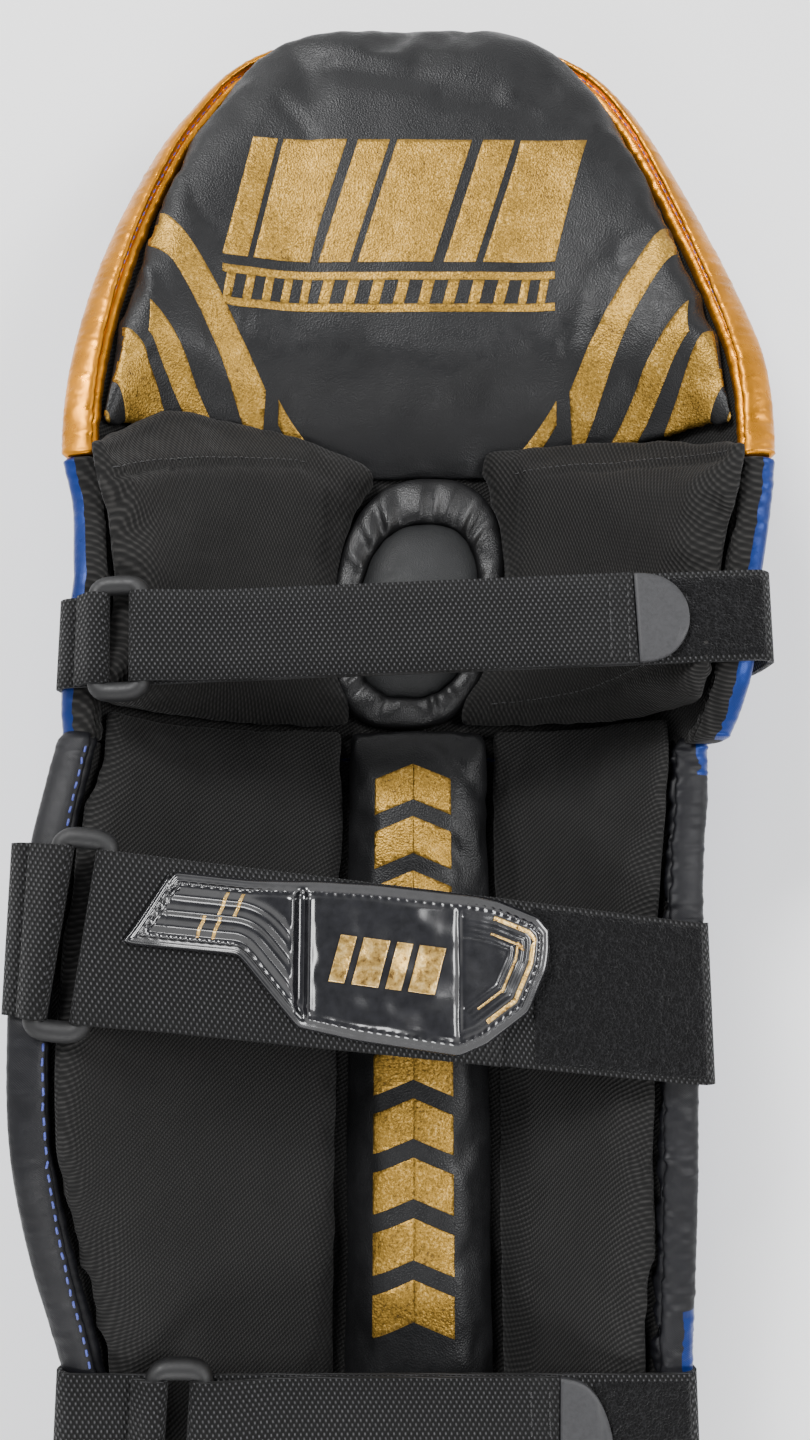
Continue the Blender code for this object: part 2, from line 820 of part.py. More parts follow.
def strap_tail(side, along, width):
    """X and Z of a strap end that lies on the outer face of a wing, upwards."""
    rim = KNEE_RIM if along > -SEAM_REACH else SHIN_RIM
    path = []
    for step in range(TAIL_STEPS):
        back = STRAP_TAIL * (1.0 - step / TAIL_STEPS)
        best = None
        for part in (-0.5, 0.0, 0.5):
            place = along + part * width
            edge = interpolate(rim, place)[0 if side < 0 else 1] - BINDING_WIDTH
            depth = face_depth(edge - back, edge, None, 0.0) + BINDING_BULGE + 2 * PIECE_GAP
            point = pad_point(side * (edge - back), place, -depth - STRAP_THICK / 2)
            if best is None or abs(point.x) > abs(best.x):
                best = point
        path.append((best.x, best.z))
    return path


class StrapLine:
    """Straight run of a strap from the left edge of the pad to the right one."""

    def __init__(self, along, width, lean):
        lift = STRAP_GAP + STRAP_THICK / 2
        self.along = along
        self.width = width
        self.lean = lean
        self.left = rim_reach(-1, along, width)
        span = self.left[0] + rim_reach(1, along, width)[0]
        self.right_along = along + lean * span
        self.right = rim_reach(1, self.right_along, width)
        self.start = Vector((STRAP_CORNER - self.left[0], self.left[1] + lift))
        self.end = Vector((self.right[0] - STRAP_CORNER, self.right[1] + lift))
        self.run = (self.end - self.start).normalized()
        self.up = Vector((-self.run.y, self.run.x))
        self.length = (self.end - self.start).length

    def place(self, distance, rise):
        """X and Z at a distance along the run and a rise above its middle plane."""
        spot = self.start + self.run * distance + self.up * rise
        return spot.x, spot.y

    def corner(self, side):
        """Arc over the rim, from the outer face to the run."""
        reach, top = self.left if side < 0 else self.right
        centre = Vector((side * (reach - STRAP_CORNER), top - STRAP_CORNER))
        radius = STRAP_CORNER + STRAP_GAP + STRAP_THICK / 2
        slope = math.atan2(self.run.y, self.run.x) * -side
        path = []
        for step in range(CORNER_STEPS + 1):
            angle = (math.pi / 2 - slope) * step / CORNER_STEPS
            path.append((centre.x + side * radius * math.cos(angle),
                         centre.y + radius * math.sin(angle)))
        return path

    def turn(self, distance, away, extra=0.0):
        """Half turn round a ring's bar, from under it to over it, and an extra angle."""
        radius = RING_WIRE + PIECE_GAP + STRAP_THICK / 2
        path = []
        for step in range(TURN_STEPS + 1):
            angle = (math.pi + extra) * step / TURN_STEPS - math.pi / 2
            path.append(self.place(distance + away * radius * math.cos(angle),
                                   radius + radius * math.sin(angle)))
        return path

    def cross(self, x):
        """Middle of the strap along the pad, and the direction across it, at a place in X."""
        inside = min(x - self.start.x, self.end.x - x)
        share = min(max(inside / LEAN_EASE, 0.0), 1.0)
        inner_x = min(max(x, self.start.x), self.end.x)
        middle = self.along + self.lean * (inner_x - self.start.x)
        return middle, Vector((-self.lean * share, 1.0, 0.0))


def ribbon(name, line, path, finish):
    """Flat strap of even thickness along a path in X and Z."""
    rings = []
    for step, (x, z) in enumerate(path):
        before = Vector(path[max(step - 1, 0)])
        after = Vector(path[min(step + 1, len(path) - 1)])
        run = (after - before).normalized()
        normal = Vector((-run.y, 0.0, run.x)) * (STRAP_THICK / 2)
        middle, across = line.cross(x)
        centre = Vector((x, middle, z))
        side = across * (line.width / 2)
        rings.append([centre - side - normal, centre + side - normal,
                      centre + side + normal, centre - side + normal])
    loft(name, rings, finish)


def local_point(line, distance, rise, sideways):
    """World place in the frame of a strap's run."""
    x, z = line.place(distance, rise)
    middle, across = line.cross(line.place(distance, 0.0)[0])
    return Vector((x, middle, z)) + across * sideways


def make_ring(name, line, offset):
    """Rectangular wire ring with rounded corners round both straps."""
    half_long = line.width / 2 + RING_SIDE_PLAY + RING_WIRE
    half_span = RING_SPAN / 2
    rise = RING_WIRE + PIECE_GAP + STRAP_THICK / 2
    corners = ((1, 1, 0.0), (-1, 1, 0.5), (-1, -1, 1.0), (1, -1, 1.5))
    middle = offset + half_span
    anchor_x = line.place(middle, 0.0)[0]
    anchor_along, across = line.cross(anchor_x)
    run = Vector((line.run.x, line.lean * line.run.x, line.run.y)).normalized()
    up = Vector((line.up.x, 0.0, line.up.y))
    x, z = line.place(middle, rise)
    centre = Vector((x, anchor_along, z))
    rings = []
    for span_side, long_side, start in corners:
        for step in range(4):
            angle = math.pi * start + math.pi / 2 * step / 3
            out = Vector((math.cos(angle), math.sin(angle)))
            flat = (span_side * (half_span - RING_CORNER) + RING_CORNER * out.x,
                    long_side * (half_long - RING_CORNER) + RING_CORNER * out.y)
            spot = centre + run * flat[0] + across * flat[1]
            outward = run * out.x + across * out.y
            rings.append([spot + (outward * math.cos(turn) + up * math.sin(turn)) * RING_WIRE
                          for turn in (math.tau * part / WIRE_SIDES for part in range(WIRE_SIDES))])
    loft(name, rings, "plastic", closed=True)


def tongue(name, line, start, length, rise_at, thick, outline, bevel, finish):
    """Flat end piece whose lower and upper edge change along the strap.

    start is its distance along the run, and rise_at gives the height of its underside.
    """
    rings = []
    for share, low, high in outline:
        distance = start + share * length
        rise = rise_at(distance)
        low_side = low * line.width / 2
        high_side = high * line.width / 2
        inset = min(bevel, (high_side - low_side) / 4)
        rings.append([
            local_point(line, distance, rise, low_side),
            local_point(line, distance, rise + thick - bevel, low_side),
            local_point(line, distance, rise + thick, low_side + inset),
            local_point(line, distance, rise + thick, high_side - inset),
            local_point(line, distance, rise + thick - bevel, high_side),
            local_point(line, distance, rise, high_side),
        ])
    loft(name, rings, finish)


def folded_layer(back):
    """Distance from the ring's bar and rise of the layer that comes back over the strap."""
    high = 2 * (RING_WIRE + PIECE_GAP + STRAP_THICK / 2)
    low = STRAP_THICK + LAYER_GAP
    rows = []
    for share in (0.2, 0.4, 0.6, 0.8, 1.0):
        ease = 0.5 + 0.5 * math.cos(math.pi * share)
        rows.append((LAYER_EASE * share, low + (high - low) * ease))
    rows += [(LAYER_EASE + (back - LAYER_EASE) * share, low) for share in (0.33, 0.67, 1.0)]
    return rows


def make_straps():
    """Each strap starts on the right wing, turns in a ring on the left and comes back."""
    layer_rise = STRAP_THICK + LAYER_GAP
    for name, along, width, lean, offset, back in STRAPS:
        line = StrapLine(along, width, lean)
        bar = offset + RING_SPAN

        path = strap_tail(1, line.right_along, width) + line.corner(1)
        path += [line.place(bar + (line.length - bar) * step / 4, 0.0) for step in (3, 2, 1)]
        path += line.turn(bar, -1)
        layer = folded_layer(back)
        path += [line.place(bar + distance, rise) for distance, rise in layer]
        ribbon("%s_strap" % name, line, path, "webbing")

        path = strap_tail(-1, along, width) + line.corner(-1)
        path += line.turn(offset, 1, TAB_WRAP)
        path.append(line.place(offset - TAB_BACK, layer_rise))
        ribbon("%s_ring_tab" % name, line, path, "webbing")

        make_ring("%s_ring" % name, line, offset)

        if name == "calf":
            seat = STRAP_THICK / 2 + LAYER_GAP
            shares = [(distance - BADGE_START) / BADGE_LENGTH for distance, rise in layer]
            shares = {share for share in shares if 0.0 < share < 1.0}
            shares |= {share for share, lower, upper in BADGE_OUTLINE}
            outline = [(share, *interpolate(BADGE_OUTLINE, share)) for share in sorted(shares)]
            tongue("calf_badge", line, bar + BADGE_START, BADGE_LENGTH,
                   lambda distance: seat + interpolate(layer, distance - bar)[0],
                   BADGE_THICK, outline, BADGE_BEVEL, "gloss")
        else:
            outline = [(share, -size, size) for share, size in TIP_OUTLINE]
            tongue("%s_strap_tip" % name, line, bar + back + TIP_GAP, TIP_LENGTH,
                   lambda distance: layer_rise - STRAP_THICK / 2, TIP_THICK, outline,
                   TIP_THICK / 4, "plastic")


def set_on_origin():
    """Move all pieces so that the origin is below the middle of their common box."""
    corners = [vertex.co for piece in bpy.context.scene.objects for vertex in piece.data.vertices]
    low = Vector([min(corner[axis] for corner in corners) for axis in range(3)])
    high = Vector([max(corner[axis] for corner in corners) for axis in range(3)])
    shift = Vector(((low.x + high.x) / 2, (low.y + high.y) / 2, low.z))
    for piece in bpy.context.scene.objects:
        for vertex in piece.data.vertices:
            vertex.co -= shift


def main():
    """Build all pieces."""
    make_top_face()
    make_shin_face()
    make_instep()
    make_knee_rolls()
    make_bindings()
    make_top_cushion()
    make_knee_bolsters()
    make_knee_cup()
    make_shin_cushions()
    make_straps()
    set_on_origin()


def shell_edges():
    """Edge of the shell inside the binding: the whole knee line, then rows for each side."""
    inset = BINDING_WIDTH + RIM_GAP
    left, arch, right = knee_rim_line()
    knee_line = inset_line(left + arch + right[::-1], inset)
    for end in (0, -1):
        knee_line = with_end(knee_line, end, -SEAM_REACH)
    count = len(KNEE_RIM)
    knee = {-1: inner_rows(knee_line[:count]), 1: inner_rows(knee_line[-count:])}
    shin_left = shin_inset([(-row[1], row[0]) for row in SHIN_RIM], inset)
    shin_right = shin_inset([(row[2], row[0]) for row in reversed(SHIN_RIM)], inset)
    return knee_line, knee, {-1: inner_rows(shin_left), 1: inner_rows(shin_right)}


for leftover in list(bpy.data.objects):
    bpy.data.objects.remove(leftover)
KNEE_INNER_LINE, KNEE_INNER, SHIN_INNER = shell_edges()
MATERIALS = {name: make_material(name) for name in FINISHES}
main()
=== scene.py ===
"""Looks of a cricket batting pad that lies on its front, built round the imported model.

Lengths are in metres. A place on the pad has three values: across, the arc length from
the centre line over the inner face of the shell; along, the length from the knee centre
towards the thigh; and height over that face, towards the leg.
"""
import math

import bmesh
import bpy
import numpy as np
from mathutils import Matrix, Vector, noise
from mathutils.bvhtree import BVHTree


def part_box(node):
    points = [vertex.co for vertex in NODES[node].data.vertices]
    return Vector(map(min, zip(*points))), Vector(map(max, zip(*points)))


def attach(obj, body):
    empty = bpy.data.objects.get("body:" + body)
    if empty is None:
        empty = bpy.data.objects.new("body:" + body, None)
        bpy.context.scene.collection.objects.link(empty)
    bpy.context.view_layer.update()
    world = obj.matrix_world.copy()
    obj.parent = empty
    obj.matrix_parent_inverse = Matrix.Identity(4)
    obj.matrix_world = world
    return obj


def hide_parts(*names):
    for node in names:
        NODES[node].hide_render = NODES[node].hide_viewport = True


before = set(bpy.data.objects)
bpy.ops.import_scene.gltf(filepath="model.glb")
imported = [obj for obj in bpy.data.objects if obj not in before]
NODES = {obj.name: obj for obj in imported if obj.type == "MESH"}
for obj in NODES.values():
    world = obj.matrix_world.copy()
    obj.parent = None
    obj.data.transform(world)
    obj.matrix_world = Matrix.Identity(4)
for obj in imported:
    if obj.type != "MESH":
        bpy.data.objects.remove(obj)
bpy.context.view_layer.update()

SCENE = bpy.context.scene

# Sizes of the pad that the looks follow
TOP_REACH = 0.250
SEAM_REACH = 0.058
SHIN_REACH = 0.400
INSTEP_LENGTH = 0.064
FLAT_HALF = 0.040
LEFT_RADIUS = 0.084
RIGHT_RADIUS = 0.050
KEEL_HEIGHT = 0.0474
PIECE_GAP = 0.0006
BAR_TOP = -0.0466

# Base: place along the pad, then shares of KEEL_HEIGHT, LEFT_RADIUS and RIGHT_RADIUS
SHIN_START = -SEAM_REACH - PIECE_GAP
SHIN_SPAN = SHIN_REACH + SHIN_START
BASE = (
    (-SHIN_REACH - INSTEP_LENGTH, 0.48, 0.69, 1.00),
    (SHIN_START - 1.000 * SHIN_SPAN, 0.94, 0.76, 1.00),
    (SHIN_START - 0.707 * SHIN_SPAN, 1.00, 0.88, 1.00),
    (SHIN_START - 0.268 * SHIN_SPAN, 1.00, 1.00, 1.00),
    (SHIN_START, 1.00, 0.98, 1.24),
    (0.00 * TOP_REACH, 1.00, 0.90, 1.44),
    (0.24 * TOP_REACH, 1.00, 1.07, 1.80),
    (1.00 * TOP_REACH, 1.49, 1.24, 2.08),
)

# Camera of the photo, in pad lengths
EYE_ACROSS = -0.005
EYE_ALONG = -0.1224
EYE_HEIGHT = 0.5033
EYE_TILT = math.radians(10.0)
LENS = 28.75
SENSOR = 36.0

# Gold stripes on the thigh cushion, right side: (across, along) of each corner
STRIPES = (
    ((0.117, 0.157), (0.122, 0.144), (0.0655, 0.062), (0.0660, 0.0885)),
    ((0.1240, 0.113), (0.1255, 0.100), (0.085, 0.058), (0.0720, 0.058)),
    ((0.1400, 0.112), (0.1450, 0.093), (0.121, 0.053), (0.0975, 0.056)),
    ((0.1460, 0.080), (0.1470, 0.053), (0.130, 0.052)),
    ((0.0595, 0.086), (0.0592, 0.078), (0.0400, 0.056), (0.0300, 0.056)),
)

# Print on the thigh cushion: a row of slanted blocks over a barred line
EMBLEM_LOW = 0.138
EMBLEM_HIGH = 0.188
EMBLEM_LEFT = -0.090
EMBLEM_RIGHT = 0.076
EMBLEM_LEAN = 0.016
EMBLEM_BAR_LOW = 0.118
EMBLEM_BAR_HIGH = 0.134
EMBLEM_RAIL = 0.0032
EMBLEM_DASHES = 15
# Slanted blocks of that print: share of the way over it, share of its width
EMBLEM_BLOCKS = ((0.00, 0.085), (0.105, 0.20), (0.335, 0.085), (0.44, 0.20), (0.67, 0.085), (0.775, 0.225))

# Chevrons on the shin bar
BAR_PRINT_TOP = -0.062
BAR_PRINT_LOW = -0.287
BAR_PRINT_LEFT = -0.0165
BAR_PRINT_RIGHT = 0.0125
CHEVRON_PITCH = 0.0205
CHEVRON_RISE = 0.006
CHEVRON_BAND = 0.014

# Outline of the knee cup, as in the solids
CUP_HALF_WIDTH = 0.031
CUP_HALF_LENGTH = 0.047
CUP_MIDDLE = 0.006
CUP_LEAN = 0.11
CUP_SQUARENESS = 0.8
# Width of the dome and of the ring as shares of that outline, and how far the dome lies
# below the middle
DOME_WIDE = 0.770
RING_OUT = 1.12
DOME_DROP = 0.0040
# Pleats and fine gathers round the ring, and their depths
CUP_PLEATS = 17
CUP_GATHERS = 37
PLEAT_DEPTH = 0.0036
GATHER_DEPTH = 0.0004
# Height of the ring at its outer side, what it gains towards the dome, and the dome's rise
RING_HEIGHT = 0.0085
RING_GAIN = 0.0030
DOME_RISE = 0.0150
# How far both stay off the inner face, and how far the walls beside them lean over
RING_LIFT = 0.0004
DOME_LIFT = 0.0006
WALL_LEAN = 0.0015

# Seams of the knee bolsters: places (across, along)
BOLSTER_BAND = ((-0.150, 0.036), (-0.128, 0.0445), (-0.083, 0.054), (-0.045, 0.057))
BOLSTER_BAND_RIGHT = ((0.040, 0.053), (0.075, 0.0535), (0.115, 0.050), (0.148, 0.043))
BOLSTER_LOW_RIGHT = ((0.030, -0.041), (0.070, -0.038), (0.110, -0.034), (0.146, -0.033))
# How far the upper edge of each bolster moves over the cushion: across, shift
BOLSTER_RISE_LEFT = ((0.000, 0.004), (0.020, 0.007), (0.042, 0.014), (0.081, 0.0155), (0.100, 0.0138),
                     (0.113, 0.0110), (0.121, 0.0060), (0.128, 0.0020), (0.136, -0.0030), (0.150, -0.009))
BOLSTER_RISE_RIGHT = ((0.000, 0.010), (0.024, 0.0125), (0.039, 0.0119), (0.059, 0.0087), (0.074, 0.0074),
                      (0.094, 0.0030), (0.105, 0.0008), (0.116, -0.0020), (0.128, -0.006), (0.150, -0.010))

# Share of the overhang that a strap takes away, and how far along the pad it does so
STRAP_PRESS = 0.55
KNEE_SPAN = 0.026
CALF_SPAN = 0.036
# Place along the pad from which the thigh cushion's rim is rounded, and the share of its
# height that its lower end loses under the bolsters
THIGH_MIDDLE = 0.10
CUSHION_PRESS = 0.62
# Pads that bulge over their foot: reach, width of the bulge, middle and span of the strap
OVERHANGS = {
    "bolster_left": (0.0135, 0.036, -0.008, KNEE_SPAN),
    "bolster_right": (0.0135, 0.036, 0.002, KNEE_SPAN),
    "calf_pad_left": (0.0065, 0.020, -0.121, CALF_SPAN),
    "calf_pad_right": (0.0065, 0.020, -0.146, CALF_SPAN),
}

# Simulation of the stuffing: frames, pressure, growth, height below which a pad is held,
# and the longest move of a point
STUFFING_FRAMES = 18
STUFFING_PRESSURE = 4.0
STUFFING_GROWTH = 0.02
HELD_HEIGHT = 0.0045
LONGEST_MOVE = 0.0022

# Heights between which surfaces are searched, and the height of a search straight down
SEARCH_FROM = 0.045
SEARCH_TO = -0.020
SEARCH_TOP = 0.3

# Place of the centre line and of the knee centre in the row frame
BAR_LOW, BAR_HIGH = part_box("shin_bar")
SHIFT_X = (BAR_LOW.x + BAR_HIGH.x) / 2
SHIFT_Y = BAR_HIGH.y - BAR_TOP


# Places on the pad

def base_at(along):
    """Keel height and both radii at places along the pad."""
    rows = np.array(BASE)
    values = [np.interp(along, rows[:, 0], rows[:, column]) for column in (1, 2, 3)]
    return values[0] * KEEL_HEIGHT, values[1] * LEFT_RADIUS, values[2] * RIGHT_RADIUS


def pad_points(across, along, height):
    """Points in the row frame for arrays of places."""
    across, along, height = np.broadcast_arrays(
        np.asarray(across, float), np.asarray(along, float), np.asarray(height, float))
    keel, left, right = base_at(along)
    side = np.where(across < 0, -1.0, 1.0)
    radius = np.where(across < 0, left, right)
    arc = np.maximum(np.abs(across) - FLAT_HALF, 0.0)
    reach = radius - height
    angle = arc / radius
    flat_x = np.minimum(np.abs(across), FLAT_HALF)
    x = side * (flat_x + reach * np.sin(angle)) + SHIFT_X
    z = keel + radius - reach * np.cos(angle)
    return np.stack([x, along + SHIFT_Y, z], axis=-1)


def pad_point(across, along, height):
    """One point in the row frame."""
    return Vector(pad_points(across, along, height))


def pad_places(points):
    """Across, along and height of points in the row frame."""
    x = points[:, 0] - SHIFT_X
    along = points[:, 1] - SHIFT_Y
    keel, left, right = base_at(along)
    side = np.where(x < 0, -1.0, 1.0)
    radius = np.where(x < 0, left, right)
    out = np.abs(x) - FLAT_HALF
    down = keel + radius - points[:, 2]
    angle = np.arctan2(np.maximum(out, 0.0), down)
    across = side * (np.minimum(np.abs(x), FLAT_HALF) + radius * angle)
    height = radius - np.hypot(np.maximum(out, 0.0), down)
    return across, along, height


def path_distance(across, along, path):
    """Distance of places to a line of (across, along) points, and length along it."""
    best = np.full(across.shape, np.inf)
    where = np.zeros(across.shape)
    done = 0.0
    for (a0, b0), (a1, b1) in zip(path, path[1:]):
        run = math.hypot(a1 - a0, b1 - b0)
        share = np.clip(((across - a0) * (a1 - a0) + (along - b0) * (b1 - b0)) / run ** 2, 0.0, 1.0)
        far = np.hypot(across - a0 - share * (a1 - a0), along - b0 - share * (b1 - b0))
        where = np.where(far < best, done + share * run, where)
        best = np.minimum(best, far)
        done += run
    return best, where


def smooth_path(points, step):
    """Catmull-Rom curve through points, with even steps."""
    ends = [points[0]] + list(points) + [points[-1]]
    made = []
    for before, start, stop, after in zip(ends, ends[1:], ends[2:], ends[3:]):
        count = max(2, int(math.dist(start, stop) / step))
        for number in range(count):
            t = number / count
            made.append(tuple(
                0.5 * (2 * b + (c - a) * t + (2 * a - 5 * b + 4 * c - d) * t * t
                       + (3 * b - a - 3 * c + d) * t ** 3)
                for a, b, c, d in zip(before, start, stop, after)))
    made.append(tuple(points[-1]))
    return made


# Meshes

def coordinates(mesh):
    """Vertex places of a mesh as an array."""
    flat = np.empty(len(mesh.vertices) * 3)
    mesh.vertices.foreach_get("co", flat)
    return flat.reshape(-1, 3)


def normals(mesh):
    """Vertex normals of a mesh as an array."""
    flat = np.empty(len(mesh.vertices) * 3)
    mesh.vertices.foreach_get("normal", flat)
    return flat.reshape(-1, 3)


def move_to(mesh, points):
    """Write an array of vertex places."""
    mesh.vertices.foreach_set("co", np.asarray(points, np.float32).ravel())
    mesh.update()


def dress(mesh, *materials):
    """Give a mesh these materials and no others."""
    mesh.materials.clear()
    for material in materials:
        mesh.materials.append(material)


def new_object(name, mesh, material):
    """Linked object with one material, shaded smooth, riding on the pad."""
    piece = bpy.data.objects.new(name, mesh)
    SCENE.collection.objects.link(piece)
    dress(mesh, material)
    mesh.shade_smooth()
    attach(piece, "root")
    return piece


def mesh_from(name, vertices, faces):
    """Mesh from lists, with its normals pointing out."""
    mesh = bpy.data.meshes.new(name)
    mesh.from_pydata([tuple(vertex) for vertex in vertices], [], faces)
    body = bmesh.new()
    body.from_mesh(mesh)
    bmesh.ops.recalc_face_normals(body, faces=body.faces)
    body.to_mesh(mesh)
    body.free()
    return mesh


def welded(node, name):
    """Copy of a node's mesh with shared corners and quads where they lie flat."""
    body = bmesh.new()
    body.from_mesh(NODES[node].data)
    bmesh.ops.remove_doubles(body, verts=body.verts, dist=1e-6)
    bmesh.ops.join_triangles(body, faces=body.faces, angle_face_threshold=math.radians(20.0),
                             angle_shape_threshold=math.radians(50.0))
    mesh = bpy.data.meshes.new(name)
    body.to_mesh(mesh)
    body.free()
    return mesh


def bake_modifiers(piece):
    """Replace the mesh by what its modifiers make of it."""
    graph = bpy.context.evaluated_depsgraph_get()
    made = bpy.data.meshes.new_from_object(piece.evaluated_get(graph), depsgraph=graph)
    piece.modifiers.clear()
    piece.data = made
    made.shade_smooth()


def subdivide(piece, levels, sharp=None):
    """Smooth subdivision that keeps edges sharper than an angle."""
    if sharp is not None:
        body = bmesh.new()
        body.from_mesh(piece.data)
        layer = body.edges.layers.float.new("crease_edge")
        for edge in body.edges:
            if len(edge.link_faces) == 2 and edge.calc_face_angle(0.0) > sharp:
                edge[layer] = 1.0
        body.to_mesh(piece.data)
        body.free()
    modifier = piece.modifiers.new("subdivide", "SUBSURF")
    modifier.levels = levels
    modifier.render_levels = levels
    bake_modifiers(piece)


def grow(mesh, amount):
    """Move each vertex along its normal by one length, or by a column of lengths."""
    move_to(mesh, coordinates(mesh) + normals(mesh) * amount)


def displace(piece, rule):
    """Move each vertex along its normal by rule(across, along, height), with arrays."""
    grow(piece.data, rule(*pad_places(coordinates(piece.data)))[:, None])


def thicken(piece, thickness):
    """Make a closed skin of a sheet, downwards from its surface."""
    skin = piece.modifiers.new("skin", "SOLIDIFY")
    skin.thickness = thickness
    skin.offset = -1.0
    bake_modifiers(piece)


def sheet_faces(columns, rows):
    """Faces of a grid whose points are listed column by column."""
    return [(column * rows + row, column * rows + row + 1, (column + 1) * rows + row + 1,
             (column + 1) * rows + row) for column in range(columns - 1) for row in range(rows - 1)]


def noise_at(points, scale, seed):
    """Smooth noise from -1 to 1 at points."""
    offset = Vector((seed, seed * 1.7, -seed))
    return np.array([noise.noise(Vector(point) * scale + offset) for point in points])


def pad_uv(piece):
    """UV layer in metres: across and along."""
    across, along = pad_places(coordinates(piece.data))[:2]
    write_uv(piece.data, np.stack([across, along], axis=1))


def strap_uv(piece, lean):
    """UV layer in metres for a strap: along it, also down its ends, and across it."""
    mesh = piece.data
    points = coordinates(mesh)
    layer = mesh.uv_layers.get("pad") or mesh.uv_layers.new(name="pad")
    for face in mesh.polygons:
        upright = abs(face.normal.x) > abs(face.normal.z)
        for loop in face.loop_indices:
            x, y, z = points[mesh.loops[loop].vertex_index]
            layer.data[loop].uv = (z, y) if upright else (x, y - lean * x)


def write_uv(mesh, places):
    """Store one UV pair per vertex."""
    layer = mesh.uv_layers.get("pad") or mesh.uv_layers.new(name="pad")
    index = np.empty(len(mesh.loops), np.int64)
    mesh.loops.foreach_get("vertex_index", index)
    layer.data.foreach_set("uv", places[index].astype(np.float32).ravel())


class Surface:
    """Finds places on finished pieces from above."""

    def __init__(self, *pieces):
        vertices = []
        faces = []
        for piece in pieces:
            start = len(vertices)
            vertices += [vertex.co.copy() for vertex in piece.data.vertices]
            faces += [[start + corner for corner in face.vertices] for face in piece.data.polygons]
        self.tree = BVHTree.FromPolygons(vertices, faces)

    def at(self, across, along, lift=0.0):
        """Point and normal above a place on the pad, or None where nothing lies."""
        start = pad_point(across, along, SEARCH_FROM)
        toward = (pad_point(across, along, SEARCH_TO) - start).normalized()
        place, normal, face, distance = self.tree.ray_cast(start, toward)
        if place is None:
            return None
        if normal.dot(toward) > 0:
            normal = -normal
        return place + normal * lift, normal

    def drop(self, x, y, lift=0.0):
        """Point and normal straight below a place in x and y, or None."""
        place, normal, face, distance = self.tree.ray_cast(Vector((x, y, SEARCH_TOP)), Vector((0, 0, -1)))
        if place is None:
            return None
        if normal.z < 0:
            normal = -normal
        return place + normal * lift, normal


# Materials

class Finish:
    """One procedural material and the nodes that it is made of."""

    def __init__(self, name, colour, roughness, metallic=0.0, **sockets):
        self.material = bpy.data.materials.new(name)
        self.material.use_nodes = True
        self.tree = self.material.node_tree
        self.shader = self.tree.nodes["Principled BSDF"]
        self.shader.inputs["Base Color"].default_value = (*colour, 1.0)
        self.shader.inputs["Roughness"].default_value = roughness
        self.shader.inputs["Metallic"].default_value = metallic
        for socket, value in sockets.items():
            self.shader.inputs[socket.replace("_", " ")].default_value = value

    def node(self, kind, inputs=None, **settings):
        """Add a node; inputs maps a socket to a value or to another node's output."""
        made = self.tree.nodes.new(kind)
        for name, value in settings.items():
            setattr(made, name, value)
        for key, value in (inputs or {}).items():
            if isinstance(value, bpy.types.NodeSocket):
                self.tree.links.new(value, made.inputs[key])
            else:
                made.inputs[key].default_value = value
        return made

    def math(self, operation, *values):
        """Output of a math node."""
        return self.node("ShaderNodeMath", dict(enumerate(values)), operation=operation).outputs[0]

    def place(self):
        """Position on the object in metres."""
        return self.node("ShaderNodeTexCoord").outputs["Object"]

    def pad(self):
        """Across and along in metres."""
        return self.node("ShaderNodeUVMap", uv_map="pad").outputs[0]

    def wave(self, vector, direction, pitch):
        """Sine of the way along a direction, one turn for each pitch."""
        turns = [math.tau / pitch * part for part in direction]
        dot = self.node("ShaderNodeVectorMath", {0: vector, 1: (*turns, 0.0)}, operation="DOT_PRODUCT")
        return self.math("SINE", dot.outputs["Value"])

    def noise(self, scale, detail=3.0, rough=0.55):
        """Noise from 0 to 1."""
        made = self.node("ShaderNodeTexNoise", {"Vector": self.place(), "Scale": scale,
                                                "Detail": detail, "Roughness": rough})
        return made.outputs[0]

    def cells(self, scale):
        """Cell pattern, the distance to the nearest cell centre."""
        made = self.node("ShaderNodeTexVoronoi", {"Vector": self.place(), "Scale": scale})
        return made.outputs["Distance"]

    def spread(self, value, low, high, to_low, to_high):
        """Map a range onto another and clamp it."""
        made = self.node("ShaderNodeMapRange", {0: value, 1: low, 2: high, 3: to_low, 4: to_high})
        return made.outputs[0]

    def paint(self, value, *stops):
        """Base colour from a value through (place, colour) stops."""
        ramp = self.node("ShaderNodeValToRGB", {0: value})
        elements = ramp.color_ramp.elements
        while len(elements) < len(stops):
            elements.new(0.5)
        for element, (place, colour) in zip(elements, stops):
            element.position = place
            element.color = (*colour, 1.0)
        self.tree.links.new(ramp.outputs[0], self.shader.inputs["Base Color"])

    def rough(self, value):
        """Roughness from a value."""
        self.tree.links.new(value, self.shader.inputs["Roughness"])

    def bump(self, *layers):
        """Chain of bumps, each (height, depth in metres, strength)."""
        before = None
        for height, depth, strength in layers:
            inputs = {"Height": height, "Distance": depth, "Strength": strength}
            if before is not None:
                inputs["Normal"] = before
            before = self.node("ShaderNodeBump", inputs).outputs[0]
        self.tree.links.new(before, self.shader.inputs["Normal"])


def shade(colour, factor):
    """Colour made lighter or darker."""
    return tuple(min(part * factor, 1.0) for part in colour)


def coated_cloth(name, colour, roughness, metallic=0.0, grain=1500.0, **sockets):
    """Grained coated cloth: fine pebbles, faint soft dents and worn lighter spots."""
    finish = Finish(name, colour, roughness, metallic, **sockets)
    pebbles = finish.cells(grain)
    dents = finish.noise(60.0, 4.0)
    finish.paint(finish.noise(35.0, 5.0), (0.30, shade(colour, 0.80)), (0.70, shade(colour, 1.25)))
    finish.rough(finish.spread(finish.noise(220.0, 3.0), 0.3, 0.7, roughness - 0.06, roughness + 0.08))
    finish.bump((dents, 0.0010, 0.25), (pebbles, 0.00022, 0.55))
    return finish.material


